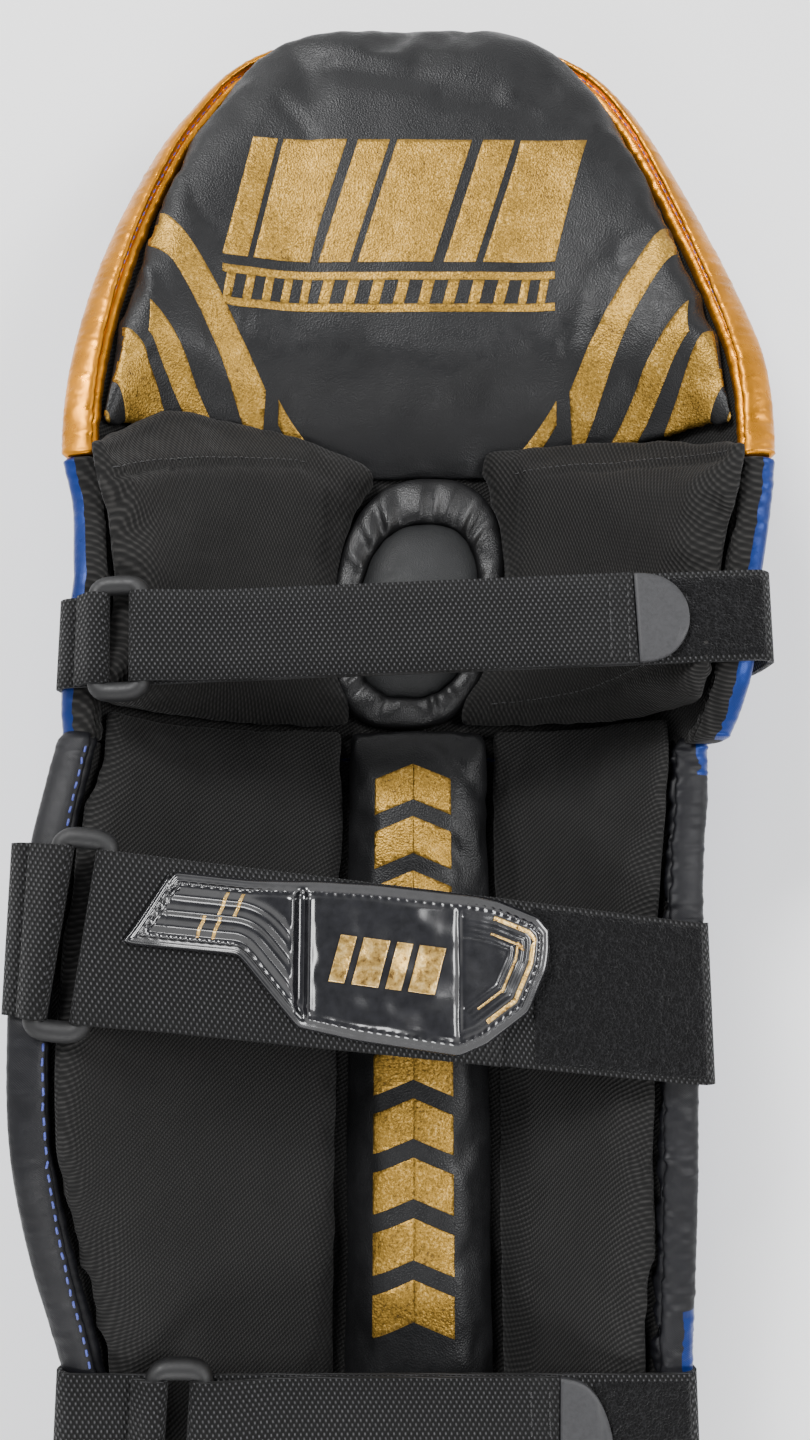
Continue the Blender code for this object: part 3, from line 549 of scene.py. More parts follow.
def satin_cloth(name, colour, roughness, metallic, shine=0.5):
    """Satin with a fine thread and small puckers."""
    finish = Finish(name, colour, roughness, metallic, Specular_IOR_Level=shine)
    threads = finish.wave(finish.place(), (0.62, 0.78), 0.00055)
    puckers = finish.noise(170.0, 4.0, 0.6)
    finish.paint(finish.noise(90.0, 5.0), (0.28, shade(colour, 0.72)), (0.55, colour),
                 (0.80, shade(colour, 1.30)))
    finish.rough(finish.spread(puckers, 0.3, 0.7, roughness - 0.05, roughness + 0.10))
    finish.bump((puckers, 0.0008, 0.5), (threads, 0.00006, 0.25))
    return finish.material


def twill(name, colour, direction, pitch):
    """Black twill: fine slanted ribs crossed by single yarns, with painted highlights on the crests and
    painted shade in the hollows.
    """
    finish = Finish(name, colour, 0.86, Sheen_Weight=0.05, Sheen_Roughness=0.45, Specular_IOR_Level=0.22)
    place = finish.pad()
    ribs = finish.wave(place, direction, pitch)
    yarns = finish.wave(place, (direction[1], -direction[0] * 0.4), pitch * 0.8)
    weave = finish.math("ADD", ribs, finish.math("MULTIPLY", yarns, 0.45))
    fuzz = finish.noise(2600.0, 2.0)
    # Colour follows the weave: painted highlight on its crests, painted shade in its hollows; the slow noise
    # adds random tone.
    finish.paint(finish.math("ADD", finish.spread(weave, -1.4, 1.4, 0.0, 0.8),
                             finish.math("MULTIPLY", finish.noise(45.0, 4.0), 0.25)),
                 (0.15, shade(colour, 0.45)), (0.55, colour), (0.95, shade(colour, 3.6)))
    finish.bump((finish.noise(110.0, 3.0), 0.0012, 0.30), (weave, 0.00016, 0.8), (fuzz, 0.00012, 0.4))
    return finish.material


def webbing(name, colour, pitch):
    """Coarse woven strap: knuckles in slanted rows, with painted highlights on their tops and painted shade
    between them.
    """
    finish = Finish(name, colour, 0.62, Sheen_Weight=0.03, Sheen_Roughness=0.4, Specular_IOR_Level=0.25)
    place = finish.pad()
    first = finish.wave(place, (1.0, 0.12), pitch)
    second = finish.wave(place, (0.0, 1.0), pitch * 1.45)
    knuckles = finish.math("MULTIPLY", first, second)
    yarn = finish.wave(place, (1.0, 0.0), pitch / 4)
    height = finish.math("ADD", knuckles, finish.math("MULTIPLY", yarn, 0.12))
    # Colour follows the knuckles: painted highlight on their tops, painted shade in the gaps between them;
    # the noise adds random tone.
    finish.paint(finish.math("ADD", finish.spread(knuckles, -0.2, 1.0, 0.0, 0.85),
                             finish.math("MULTIPLY", finish.noise(70.0, 4.0), 0.2)),
                 (0.10, shade(colour, 0.35)), (0.45, colour), (0.92, shade(colour, 15.0)))
    finish.rough(finish.spread(knuckles, 0.0, 1.0, 0.80, 0.48))
    finish.bump((finish.noise(90.0, 3.0), 0.0008, 0.3), (height, 0.00045, 0.9),
                (finish.noise(2400.0, 2.0), 0.0001, 0.3))
    return finish.material


def pile_cloth(name, colour):
    """Looped pile of a hook and loop strap."""
    finish = Finish(name, colour, 0.95, Sheen_Weight=0.10, Sheen_Roughness=0.35, Specular_IOR_Level=0.12)
    loops = finish.cells(1150.0)
    tufts = finish.noise(420.0, 5.0, 0.7)
    mix = finish.math("ADD", finish.math("MULTIPLY", loops, 0.6), finish.math("MULTIPLY", tufts, 0.5))
    finish.paint(mix, (0.25, shade(colour, 0.35)), (0.60, colour), (0.95, shade(colour, 2.6)))
    finish.bump((tufts, 0.0016, 0.8), (loops, 0.0006, 0.9))
    return finish.material


def gold_print():
    """Gold foil print that follows the grain below it, with small bare specks."""
    gold = (0.36, 0.205, 0.031)
    finish = Finish("gold_print", gold, 0.44, 0.78)
    grain = finish.cells(1300.0)
    flakes = finish.noise(900.0, 4.0, 0.7)
    clouds = finish.noise(120.0, 4.0)
    mix = finish.math("ADD", finish.math("MULTIPLY", flakes, 0.7), finish.math("MULTIPLY", clouds, 0.3))
    finish.paint(mix, (0.34, (0.10, 0.055, 0.015)), (0.44, shade(gold, 0.70)), (0.54, gold),
                 (0.68, (0.66, 0.42, 0.12)))
    finish.rough(finish.spread(flakes, 0.3, 0.7, 0.34, 0.56))
    finish.bump((grain, 0.00025, 0.7), (flakes, 0.00012, 0.5))
    return finish.material


def moulded(name, colour, roughness, wear=400.0):
    """Moulded plastic with a fine texture and faint scuffs."""
    finish = Finish(name, colour, roughness)
    scuffs = finish.noise(wear, 5.0, 0.7)
    finish.paint(scuffs, (0.35, shade(colour, 0.8)), (0.75, shade(colour, 1.5)))
    finish.rough(finish.spread(scuffs, 0.3, 0.7, roughness - 0.08, roughness + 0.10))
    finish.bump((finish.noise(1500.0, 3.0), 0.00008, 0.4))
    return finish.material


def clear_moulding():
    """Thick clear coat over black, with the slow ripples of a poured surface."""
    finish = Finish("badge_gloss", (0.006, 0.006, 0.007), 0.22, Coat_Weight=1.0, Coat_Roughness=0.10,
                    IOR=1.52)
    ripples = finish.noise(90.0, 1.0)
    finish.paint(finish.noise(300.0, 4.0), (0.3, (0.004, 0.004, 0.005)), (0.7, (0.012, 0.012, 0.014)))
    finish.bump((ripples, 0.0020, 0.35))
    return finish.material


def moulded_gold():
    """Gold paint under a clear coat, darker and lighter in random clouds."""
    gold = (0.62, 0.38, 0.10)
    finish = Finish("gold_mould", gold, 0.30, 0.80, Coat_Weight=0.8, Coat_Roughness=0.06)
    clouds = finish.noise(420.0, 4.0, 0.65)
    finish.paint(clouds, (0.28, (0.20, 0.10, 0.02)), (0.50, gold), (0.75, (0.85, 0.62, 0.26)))
    finish.rough(finish.spread(clouds, 0.3, 0.7, 0.24, 0.42))
    finish.bump((finish.noise(500.0, 3.0), 0.0004, 0.4))
    return finish.material


def thread(name, colour):
    """Twisted sewing thread."""
    finish = Finish(name, colour, 0.55, Sheen_Weight=0.3, Sheen_Roughness=0.4)
    twist = finish.noise(2200.0, 2.0)
    finish.paint(twist, (0.3, shade(colour, 0.6)), (0.7, shade(colour, 1.5)))
    finish.bump((twist, 0.0002, 0.6))
    return finish.material


BLACK_PU = coated_cloth("black_leather", (0.0075, 0.0076, 0.0082), 0.42, Specular_IOR_Level=0.27)
CUP_PU = coated_cloth("cup_leather", (0.0058, 0.0058, 0.0062), 0.37, grain=1900.0, Specular_IOR_Level=0.40)
DOME_PU = coated_cloth("dome_leather", (0.013, 0.0135, 0.014), 0.50, grain=2200.0, Specular_IOR_Level=0.25)
FACE_PU = coated_cloth("face_blue", (0.006, 0.034, 0.215), 0.32, 0.35, grain=1200.0, Coat_Weight=0.1)
GOLD_SATIN = satin_cloth("gold_satin", (0.56, 0.215, 0.007), 0.29, 0.85)
BLUE_SATIN = satin_cloth("blue_satin", (0.003, 0.022, 0.145), 0.32, 0.45, 0.35)
EDGE_SATIN = satin_cloth("edge_satin", (0.0042, 0.0043, 0.0060), 0.50, 0.0, 0.28)
BOLSTER_TWILL = twill("black_fabric", (0.0064, 0.0061, 0.0058), (0.86, 0.51), 0.00150)
CALF_TWILL = twill("calf_fabric", (0.0066, 0.0064, 0.0062), (-0.54, 0.84), 0.00140)
WEBBING = webbing("webbing", (0.0038, 0.0038, 0.0040), 0.0019)
PILE = pile_cloth("pile", (0.0075, 0.0075, 0.0080))
GOLD_PRINT = gold_print()
GOLD_MOULD = moulded_gold()
RING_PLASTIC = moulded("ring_plastic", (0.0040, 0.0040, 0.0044), 0.58)
TIP_PU = moulded("tip_plastic", (0.020, 0.020, 0.022), 0.58, wear=700.0)
BADGE_GLOSS = clear_moulding()
BLUE_THREAD = thread("blue_thread", (0.045, 0.065, 0.30))
BLACK_THREAD = thread("black_thread", (0.009, 0.009, 0.010))


# Soft pads

# Stuffed pieces: name, node, material, slot, how far the start is pulled in, remesh size
STUFFED = (
    ("thigh_cushion", "top_cushion", BLACK_PU, "black_leather", 0.0010, 0.0045),
    ("bolster_left", "knee_bolster_left", BOLSTER_TWILL, "black_fabric", 0.0010, 0.0042),
    ("bolster_right", "knee_bolster_right", BOLSTER_TWILL, "black_fabric", 0.0010, 0.0042),
    ("calf_pad_left", "calf_bolster_left", CALF_TWILL, "black_fabric", 0.0010, 0.0042),
    ("calf_pad_right", "calf_bolster_right", CALF_TWILL, "black_fabric", 0.0010, 0.0042),
    ("shin_bar_pad", "shin_bar", BLACK_PU, "black_leather", 0.0006, 0.0038),
)


def soft_pad(name, node, material, slot, inset, voxel):
    """Start a pad from its node: pulled in, remeshed and ready for the simulation."""
    piece = new_object(name, welded(node, name), material)
    grow(piece.data, -inset)
    remesh = piece.modifiers.new("remesh", "REMESH")
    remesh.mode = "VOXEL"
    remesh.voxel_size = voxel
    bake_modifiers(piece)
    dress(piece.data, material)
    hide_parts(node)
    return piece


def simulate_pads(pieces):
    """Blow up all pads with their undersides held, and cap how far a point may move."""
    before = {}
    for piece in pieces:
        points = coordinates(piece.data)
        before[piece.name] = points
        height = pad_places(points)[2]
        group = piece.vertex_groups.new(name="held")
        for index in np.nonzero(height < HELD_HEIGHT)[0]:
            group.add([int(index)], 1.0, "REPLACE")
        cloth = piece.modifiers.new("cloth", "CLOTH")
        settings = cloth.settings
        settings.quality = 4
        settings.mass = 0.3
        settings.tension_stiffness = 12.0
        settings.compression_stiffness = 12.0
        settings.shear_stiffness = 4.0
        settings.bending_stiffness = 0.4
        settings.use_pressure = True
        settings.uniform_pressure_force = STUFFING_PRESSURE
        settings.shrink_min = -STUFFING_GROWTH
        settings.vertex_group_mass = "held"
        settings.effector_weights.gravity = 0.0
        cloth.collision_settings.use_collision = False
        cloth.point_cache.frame_start = 1
        cloth.point_cache.frame_end = STUFFING_FRAMES
    for number in range(1, STUFFING_FRAMES + 1):
        SCENE.frame_set(number)
    for piece in pieces:
        bake_modifiers(piece)
        move = coordinates(piece.data) - before[piece.name]
        length = np.linalg.norm(move, axis=1)
        limit = np.where(length > LONGEST_MOVE, LONGEST_MOVE / np.maximum(length, 1e-9), 1.0)
        move_to(piece.data, before[piece.name] + move * limit[:, None])
        piece.vertex_groups.clear()
    SCENE.frame_set(1)


def soft_step(low, high, value):
    """Smooth rise from 0 to 1 between two values."""
    share = np.clip((value - low) / (high - low), 0.0, 1.0)
    return share * share * (3.0 - 2.0 * share)


def ridge(value, centre, width):
    """Bell of height 1 about a centre."""
    return np.exp(-((value - centre) / width) ** 2)


def swell(piece, rule):
    """Shift each vertex by rule(across, along, height), which gives three arrays."""
    across, along, height = pad_places(coordinates(piece.data))
    shift = rule(across, along, height)
    move_to(piece.data, pad_points(across + shift[0], along + shift[1], height + shift[2]))


def overhang(reach, width, under, span):
    """Rule that pushes the outer wall of a pad outwards above its foot, less under the strap."""

    def rule(across, along, height):
        side = np.sign(across)
        edge = np.abs(across).max()
        push = reach * soft_step(edge - width, edge - 0.002, np.abs(across))
        push = push * (1.0 - STRAP_PRESS * ridge(along, under, span))
        return side * push * soft_step(0.001, 0.007, height), 0.0, 0.0

    return rule


def thigh_overhang(across, along, height):
    """Push the thigh cushion over its rim, most at the top."""
    top = soft_step(0.180, 0.242, along) * (1.0 - soft_step(0.025, 0.090, np.abs(across)))
    foot = soft_step(0.000, 0.006, height)
    beyond = along - THIGH_MIDDLE
    reach = np.hypot(across, beyond)
    edge = soft_step(0.115, 0.140, reach)
    out = edge * foot * (0.0012 + 0.0068 * top)
    bow = np.maximum(reach, 0.001)
    return across / bow * out * 0.3, beyond / bow * out * (beyond > 0.0), 0.0025 * top * edge * foot


def groove(across, along, path, depth, width):
    """Sunken line with soft flanks."""
    return -depth * np.exp(-(path_distance(across, along, path)[0] / width) ** 2)


def puckers(across, along, path, depth, reach, pitch, seed):
    """Short gathers that stand square to a seam and fade away from it."""
    distance, where = path_distance(across, along, path)
    jitter = np.array([noise.noise(Vector((spot * 90.0, seed, 0.0))) for spot in where])
    ripple = np.sin(math.tau * where / pitch + 3.0 * jitter)
    return depth * ripple * np.exp(-(distance / reach) ** 2) * (0.6 + 0.4 * jitter)


# Sewing

def stitch_row(name, find, path, pitch, length, radius, material):
    """Row of short threads along a line of places, each found on a surface."""
    lift = 0.00012
    line = smooth_path(path, 0.001)
    ends = []
    done = 0.0
    target = 0.0
    for first, second in zip(line, line[1:]):
        run = math.dist(first, second)
        while target <= done + run:
            share = (target - done) / max(run, 1e-9)
            spot = [a + (b - a) * share for a, b in zip(first, second)]
            toward = [(b - a) / max(run, 1e-9) for a, b in zip(first, second)]
            ends.append((spot, toward))
            target += pitch
        done += run
    threads = []
    for spot, toward in ends:
        places = [find(spot[0] + toward[0] * part * length, spot[1] + toward[1] * part * length, lift)
                  for part in (-0.5, -0.25, 0.25, 0.5)]
        if None in places:
            continue
        threads.append([place for place, normal in places])
        threads[-1][0] = threads[-1][0] - places[0][1] * radius * 1.6
        threads[-1][3] = threads[-1][3] - places[3][1] * radius * 1.6
    return tubes(name, threads, radius, material)


def tubes(name, lines, radius, material):
    """Joined tubes along short lines of points."""
    sides = 5
    vertices = []
    faces = []
    for line in lines:
        start = len(vertices)
        count = len(line)
        for number, point in enumerate(line):
            run = (line[min(number + 1, count - 1)] - line[max(number - 1, 0)]).normalized()
            side = run.cross(Vector((0.1, 0.2, 1.0))).normalized()
            rise = side.cross(run)
            size = radius * (0.7 if number in (0, count - 1) else 1.0)
            for part in range(sides):
                turn = math.tau * part / sides
                vertices.append(point + (side * math.cos(turn) + rise * math.sin(turn)) * size)
        for number in range(count - 1):
            for part in range(sides):
                after = (part + 1) % sides
                low = start + number * sides
                faces.append((low + part, low + after, low + sides + after, low + sides + part))
        faces.append([start + part for part in range(sides)])
        faces.append([start + (count - 1) * sides + part for part in range(sides)])
    return new_object(name, mesh_from(name, vertices, faces), material)


# Prints

# Film: how far round an outline faces are taken from, and the length and least rise of the
# probe that tells an upper side
FILM_MARGIN = 0.008
FILM_PROBE = 0.0005
FILM_LEAST_RISE = 0.00003


def flat_places(points):
    """Points in the row frame as (across, along, height) rows."""
    return np.stack(pad_places(points), axis=1)


def lifted_places(places):
    """The way back from flat_places."""
    return pad_points(places[:, 0], places[:, 1], places[:, 2])


def same_places(points):
    """Places of a piece that lies nearly level: its own x and y."""
    return points


def cut_film(name, source, outlines, material, lift=0.00015, thick=0.0004,
             flatten=flat_places, unflatten=lifted_places):
    """Thin film cut from the upper side of a piece, one part for each convex outline."""
    mesh = source.data
    places = flatten(coordinates(mesh))
    upward = flatten(coordinates(mesh) + normals(mesh) * FILM_PROBE) - places
    faces = [list(face.vertices) for face in mesh.polygons]
    middles = np.array([places[corners].mean(axis=0) for corners in faces])
    rises = np.array([upward[corners, 2].mean() for corners in faces])
    vertices = []
    polygons = []
    for outline in outlines:
        corners = np.array(outline)
        area = sum(corners[i - 1][0] * corners[i][1] - corners[i][0] * corners[i - 1][1]
                   for i in range(len(corners)))
        if area < 0:
            corners = corners[::-1]
        low = corners.min(axis=0) - FILM_MARGIN
        high = corners.max(axis=0) + FILM_MARGIN
        near = np.nonzero((middles[:, 0] > low[0]) & (middles[:, 0] < high[0]) &
                          (middles[:, 1] > low[1]) & (middles[:, 1] < high[1]) &
                          (rises > FILM_LEAST_RISE))[0]
        used = sorted({corner for number in near for corner in faces[number]})
        index = {corner: number for number, corner in enumerate(used)}
        body = bmesh.new()
        made = [body.verts.new(places[corner]) for corner in used]
        for number in near:
            body.faces.new([made[index[corner]] for corner in faces[number]])
        for i in range(len(corners)):
            start, stop = corners[i - 1], corners[i]
            outward = Vector((stop[1] - start[1], start[0] - stop[0], 0.0))
            bmesh.ops.bisect_plane(body, geom=body.verts[:] + body.edges[:] + body.faces[:],
                                   plane_co=(*start, 0.0), plane_no=outward, dist=1e-7, clear_outer=True)
        body.verts.index_update()
        start = len(vertices)
        vertices += [tuple(vertex.co) for vertex in body.verts]
        polygons += [[start + vertex.index for vertex in face.verts] for face in body.faces]
        body.free()
    film = bpy.data.meshes.new(name)
    film.from_pydata([tuple(point) for point in unflatten(np.array(vertices))], [], polygons)
    film.update()
    grow(film, lift)
    piece = new_object(name, film, material)
    thicken(piece, thick)
    pad_uv(piece)
    return piece


def mirrored(outline, side):
    """Outline on the left or the right of the centre line."""
    return [(side * across, along) for across, along in outline]


def slanted(left, right, low, high, lean):
    """Block with slanted sides."""
    return [(left, low), (right, low), (right + lean, high), (left + lean, high)]


# Stuffed pieces

def make_pads():
    """All stuffed pieces on the leg side."""
    pads = {row[0]: soft_pad(*row) for row in STUFFED}
    simulate_pads(list(pads.values()))
    for piece in pads.values():
        subdivide(piece, 1)
    return pads


def bolster_top(across, along, height):
    """Lay the upper edge of the bolsters over the end of the cushion."""
    left = np.interp(-across, *zip(*BOLSTER_RISE_LEFT))
    right = np.interp(across, *zip(*BOLSTER_RISE_RIGHT))
    return 0.0, np.where(across < 0, left, right) * soft_step(0.012, 0.044, along), 0.0


def cushion_end(across, along, height):
    """Press the end of the thigh cushion down under the bolsters."""
    return 0.0, 0.0, -CUSHION_PRESS * np.maximum(height, 0.0) * (1.0 - soft_step(0.046, 0.105, along))


def cup_side(across, along, height):
    """Push the walls beside the knee cup over its ring."""
    middle = CUP_LEAN * (along - CUP_MIDDLE)
    off = across - middle
    near = 1.0 - soft_step(0.030, 0.052, np.abs(off))
    rise = soft_step(0.003, 0.012, height)
    return np.sign(off) * WALL_LEAN * near * rise, 0.0, 0.0


# Surfaces of the stuffed pieces. Each has the share of its length that its noise sees,
# its noises as (depth, scale, seed), its sunken lines as (line, depth, width) and its
# gathers as (line, depth, reach, pitch, seed).
THIGH_SURFACE = (0.8, ((0.0008, 22.0, 3.0), (0.0003, 60.0, 8.0)), (
    (((-0.035, 0.222), (0.000, 0.214), (0.030, 0.209)), 0.0014, 0.005),
    (((0.010, 0.206), (0.048, 0.200)), 0.0010, 0.004),
    (((-0.060, 0.205), (-0.045, 0.190)), 0.0008, 0.004),
), ())
BOLSTER_SURFACE = (1.0, ((0.0007, 45.0, 5.0), (0.0004, 120.0, 2.0)), (
    (BOLSTER_BAND, 0.0016, 0.0016),
    (BOLSTER_BAND_RIGHT, 0.0010, 0.0014),
    (BOLSTER_LOW_RIGHT, 0.0012, 0.0014),
), (
    (BOLSTER_BAND, 0.0007, 0.006, 0.011, 4.0),
    (BOLSTER_LOW_RIGHT, 0.0005, 0.005, 0.010, 6.0),
))
CALF_SURFACE = (0.5, ((0.0009, 30.0, 7.0), (0.0004, 90.0, 1.0)), (), ())
BAR_SURFACE = (0.7, ((0.0008, 40.0, 9.0),), ((((0.012, -0.056), (0.024, -0.075)), 0.0010, 0.003),), ())
SURFACES = {
    "thigh_cushion": THIGH_SURFACE, "bolster_left": BOLSTER_SURFACE, "bolster_right": BOLSTER_SURFACE,
    "calf_pad_left": CALF_SURFACE, "calf_pad_right": CALF_SURFACE, "shin_bar_pad": BAR_SURFACE,
}


def relief_rule(squash, noises, lines, gathers):
    """Rule that gives a stuffed piece its dents, sunken lines and gathers."""

    def rule(across, along, height):
        points = np.stack([across, along * squash, height], axis=1)
        soft = sum(depth * noise_at(points, scale, seed) for depth, scale, seed in noises)
        sunken = sum(groove(across, along, *line) for line in lines)
        gathered = sum(puckers(across, along, *gather) for gather in gathers)
        return soft + sunken + gathered

    return rule


def shape_pads(pads):
    """Bulges, creases, dents and gathers that the simulation can't hold."""
    swell(pads["thigh_cushion"], thigh_overhang)
    swell(pads["thigh_cushion"], cushion_end)
    for name, row in OVERHANGS.items():
        swell(pads[name], overhang(*row))
        if name.startswith("bolster"):
            swell(pads[name], bolster_top)
            swell(pads[name], cup_side)
    for name, row in SURFACES.items():
        displace(pads[name], relief_rule(*row))
        pad_uv(pads[name])


# Knee cup

def cup_place(angle, share):
    """Across and along on the cup's outline, scaled about its middle."""
    cosine = math.cos(angle)
    sine = math.sin(angle)
    across = CUP_HALF_WIDTH * math.copysign(abs(cosine) ** CUP_SQUARENESS, cosine) * share
    along = CUP_HALF_LENGTH * math.copysign(abs(sine) ** CUP_SQUARENESS, sine) * share
    return across + CUP_LEAN * along, CUP_MIDDLE + along


def closed_grid(name, rows, material, cap_ends=False):
    """Mesh through rings of points; the rings form a closed band, or have capped ends."""
    count = len(rows[0])
    vertices = [point for row in rows for point in row]
    faces = []
    last = len(rows) - 1 if cap_ends else len(rows)
    for number in range(last):
        after_row = (number + 1) % len(rows)
        for part in range(count):
            after = (part + 1) % count
            faces.append((number * count + part, number * count + after,
                          after_row * count + after, after_row * count + part))
    if cap_ends:
        faces.append(list(range(count)))
        faces.append([(len(rows) - 1) * count + part for part in range(count)])
    return new_object(name, mesh_from(name, vertices, faces), material)


def make_cup():
    """Flat ring of gathered coated cloth with soft pleats, and a smooth dome in it."""
    rows = []
    steps = 420
    profile = 26
    for step in range(steps):
        angle = math.tau * step / steps
        spot = Vector((math.cos(angle) * 1.9, math.sin(angle) * 1.9, 4.0))
        wander = noise.noise(spot)
        size = 0.75 + 0.5 * noise.noise(spot * 1.7)
        pleat = 0.5 + 0.5 * math.cos(angle * CUP_PLEATS + 4.0 * wander)
        fine = 0.5 + 0.5 * math.cos(angle * CUP_GATHERS + 5.0 * wander)
        row = []
        for part in range(profile):
            turn = math.pi * part / (profile - 1)
            out = 0.5 + 0.5 * math.cos(turn)
            share = DOME_WIDE + (RING_OUT - DOME_WIDE) * out
            body = math.sin(turn) ** 0.42
            inner = 1.0 - out
            depth = PLEAT_DEPTH * pleat * size * (0.15 + 0.85 * inner) + GATHER_DEPTH * fine * inner
            crown = RING_HEIGHT + RING_GAIN * inner
            across, along = cup_place(angle + 0.045 * out * wander, share)
            height = RING_LIFT + crown * body - depth * body
            row.append(pad_point(across, along - DOME_DROP * inner, height))
        rows.append(row)
    ring = closed_grid("cup_ring", rows, CUP_PU)
    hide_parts("knee_cup_ring")
    pad_uv(ring)

    rows = []
    steps = 120
    levels = 18
    for level in range(levels):
        turn = math.pi / 2 * level / (levels - 1)
        height = DOME_LIFT + DOME_RISE * math.sin(turn) ** 0.75
        row = []
        for step in range(steps):
            across, along = cup_place(math.tau * step / steps, DOME_WIDE * 1.03 * math.cos(turn * 0.985))
            row.append(pad_point(across, along - DOME_DROP, height))
        rows.append(row)
    dome = closed_grid("cup_dome", rows, DOME_PU, cap_ends=True)
    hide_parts("knee_cup_dome")
    pad_uv(dome)


# Cloth under the joint of knee and shin: across from, across to
GUSSETS = {"gusset_left": (-0.137, -0.112), "gusset_right": (0.082, 0.112)}
GUSSET_ALONG = (-0.058, -0.042)
GUSSET_HEIGHTS = (-0.0042, -0.0032)


def make_gussets():
    """Strip of cloth on each side that closes the joint between the knee part and the shin."""
    below, above = GUSSET_ALONG
    low, high = GUSSET_HEIGHTS
    section = ((below, low), (above, low), (above, high), (below, high))
    for name, (first, last) in GUSSETS.items():
        rows = [[pad_point(across, along, height) for along, height in section]
                for across in np.linspace(first, last, 9)]
        strip = closed_grid(name, rows, CALF_TWILL, cap_ends=True)
        pad_uv(strip)


# Shell

FACES = ("top_face", "shin_face", "instep", "knee_roll_1", "knee_roll_2", "knee_roll_3")
# Height over the inner face from which the shell is covered in black cloth
LINING_FROM = -0.0016


def make_faces():
    """Shell, instep and knee rolls: blue outside, black cloth on the leg side."""
    for node in FACES:
        piece = new_object(node + "_cover", welded(node, node + "_cover"), FACE_PU)
        subdivide(piece, 2, math.radians(65.0))
        dress(piece.data, FACE_PU, CALF_TWILL)
        points = coordinates(piece.data)
        soft = 0.0005 * noise_at(points, 40.0, 2.0) + 0.0003 * noise_at(points, 110.0, 6.0)
        grow(piece.data, (soft - 0.0003)[:, None])
        height = pad_places(coordinates(piece.data))[2]
        if not node.startswith("knee_roll"):
            for face in piece.data.polygons:
                if np.mean(height[list(face.vertices)]) > LINING_FROM:
                    face.material_index = 1
        pad_uv(piece)
        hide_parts(node)


# Edges

# Section of a rolled edge: share of its width, share of half its height. It starts with
# the sewn-down strip, then come the seam and the roll.
ROLL_PROFILE = (
    (-0.55, 0.70), (-0.40, 1.06), (-0.12, 1.16), (0.12, 1.14), (0.24, 0.98), (0.30, 0.86),
    (0.36, 0.98), (0.46, 1.24), (0.60, 1.30), (0.76, 1.18), (0.90, 0.90), (1.00, 0.50),
    (1.05, 0.05), (1.04, -0.40), (0.96, -0.74), (0.80, -0.98), (0.50, -1.08), (0.15, -1.06),
    (-0.10, -1.00), (-0.30, -0.40),
)
# Points of the section: how many the strip has, the seam, the seam of an edge sewn through
# its roll, the first point of the roll, and the points of the coloured outer line
STRIP_PARTS = 3
SEAM_PART = 5
OUTER_SEAM_PART = 9
ROLL_PART = 6
LINE_PARTS = range(12, len(ROLL_PROFILE) - 3)
# Spacing of the points along an edge, and how far points of one level may lie apart
EDGE_STEP = 0.0013
LEVEL_SPREAD = 0.0004
# Extra length of the shin's edges at their upper end, and the part of them without a blue line
EDGE_SPARE = 0.0030
EDGE_BARE = (-0.255, -0.070)


def edge_lines(node):
    """Outer and inner line of a binding, its middle height and half its height."""
    mesh = welded(node, node + "_line")
    across, along, height = pad_places(coordinates(mesh))
    bpy.data.meshes.remove(mesh)
    middle = (height.max() + height.min()) / 2
    half = (height.max() - height.min()) / 2
    outer = [(a, b) for a, b, h in zip(across, along, height) if abs(h - middle) < LEVEL_SPREAD]
    inner = [(a, b) for a, b, h in zip(across, along, height) if h > middle + half - LEVEL_SPREAD]

    def order(place):
        if node == "top_binding":
            return math.atan2(-place[0], place[1] + 0.05)
        return place[1]

    outer = sorted(outer, key=order)
    inner = sorted(inner, key=order)
    pairs = [first + second for first, second in zip(outer, inner)]
    return np.array(smooth_path(pairs, EDGE_STEP)), middle, half


def rolled_edge(node, material, wrinkle, strip_wave, line_material):
    """Rolled edge along a binding's lines, wrinkled across the roll, and its seam line."""
    lines, middle, half = edge_lines(node)
    if node.startswith("shin"):
        step = lines[-1] - lines[-4]
        lines = np.vstack([lines, lines[-1] + step / math.hypot(step[0], step[1]) * EDGE_SPARE])
    steps = np.hypot(np.diff(lines[:, 0]), np.diff(lines[:, 1]))
    way = np.concatenate([[0.0], np.cumsum(steps)])
    rows = []
    seam = []
    for line, done in zip(lines, way):
        end = min(done, way[-1] - done)
        crumple = 1.0 + 1.6 * math.exp(-(end / 0.014) ** 2)
        taper = min(1.0, 0.80 + end / 0.006)
        row = []
        for part, (out, rise) in enumerate(ROLL_PROFILE):
            long_fold = noise.noise(Vector((done * 150.0, part * 0.12, 3.0)))
            short_fold = noise.noise(Vector((done * 420.0, part * 0.22, 9.0)))
            fold = wrinkle * crumple * (0.55 * long_fold + 0.6 * short_fold)
            reach = out * taper
            if part < STRIP_PARTS:
                reach += strip_wave * noise.noise(Vector((done * 130.0, 0.0, 17.0))) * taper
            if part == ROLL_PART:
                fold *= 1.6
            across = line[2] + (line[0] - line[2]) * reach + math.copysign(fold * max(out, 0.0), line[0])
            along = line[3] + (line[1] - line[3]) * reach
            row.append(pad_point(across, along, middle + rise * half * taper + fold * (rise > 0)))
            if part == (OUTER_SEAM_PART if node == "shin_binding_left" else SEAM_PART):
                seam.append((across, along))
        rows.append(row)
    piece = closed_grid(node + "_roll", rows, material, cap_ends=True)
    if line_material is not None:
        piece.data.materials.append(line_material)
        count = len(ROLL_PROFILE)
        for number in range((len(rows) - 1) * count):
            bare = node.startswith("shin") and EDGE_BARE[0] < lines[number // count][1] < EDGE_BARE[1]
            if number % count in LINE_PARTS and not bare:
                piece.data.polygons[number].material_index = 1
    pad_uv(piece)
    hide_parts(node)
    return piece, seam


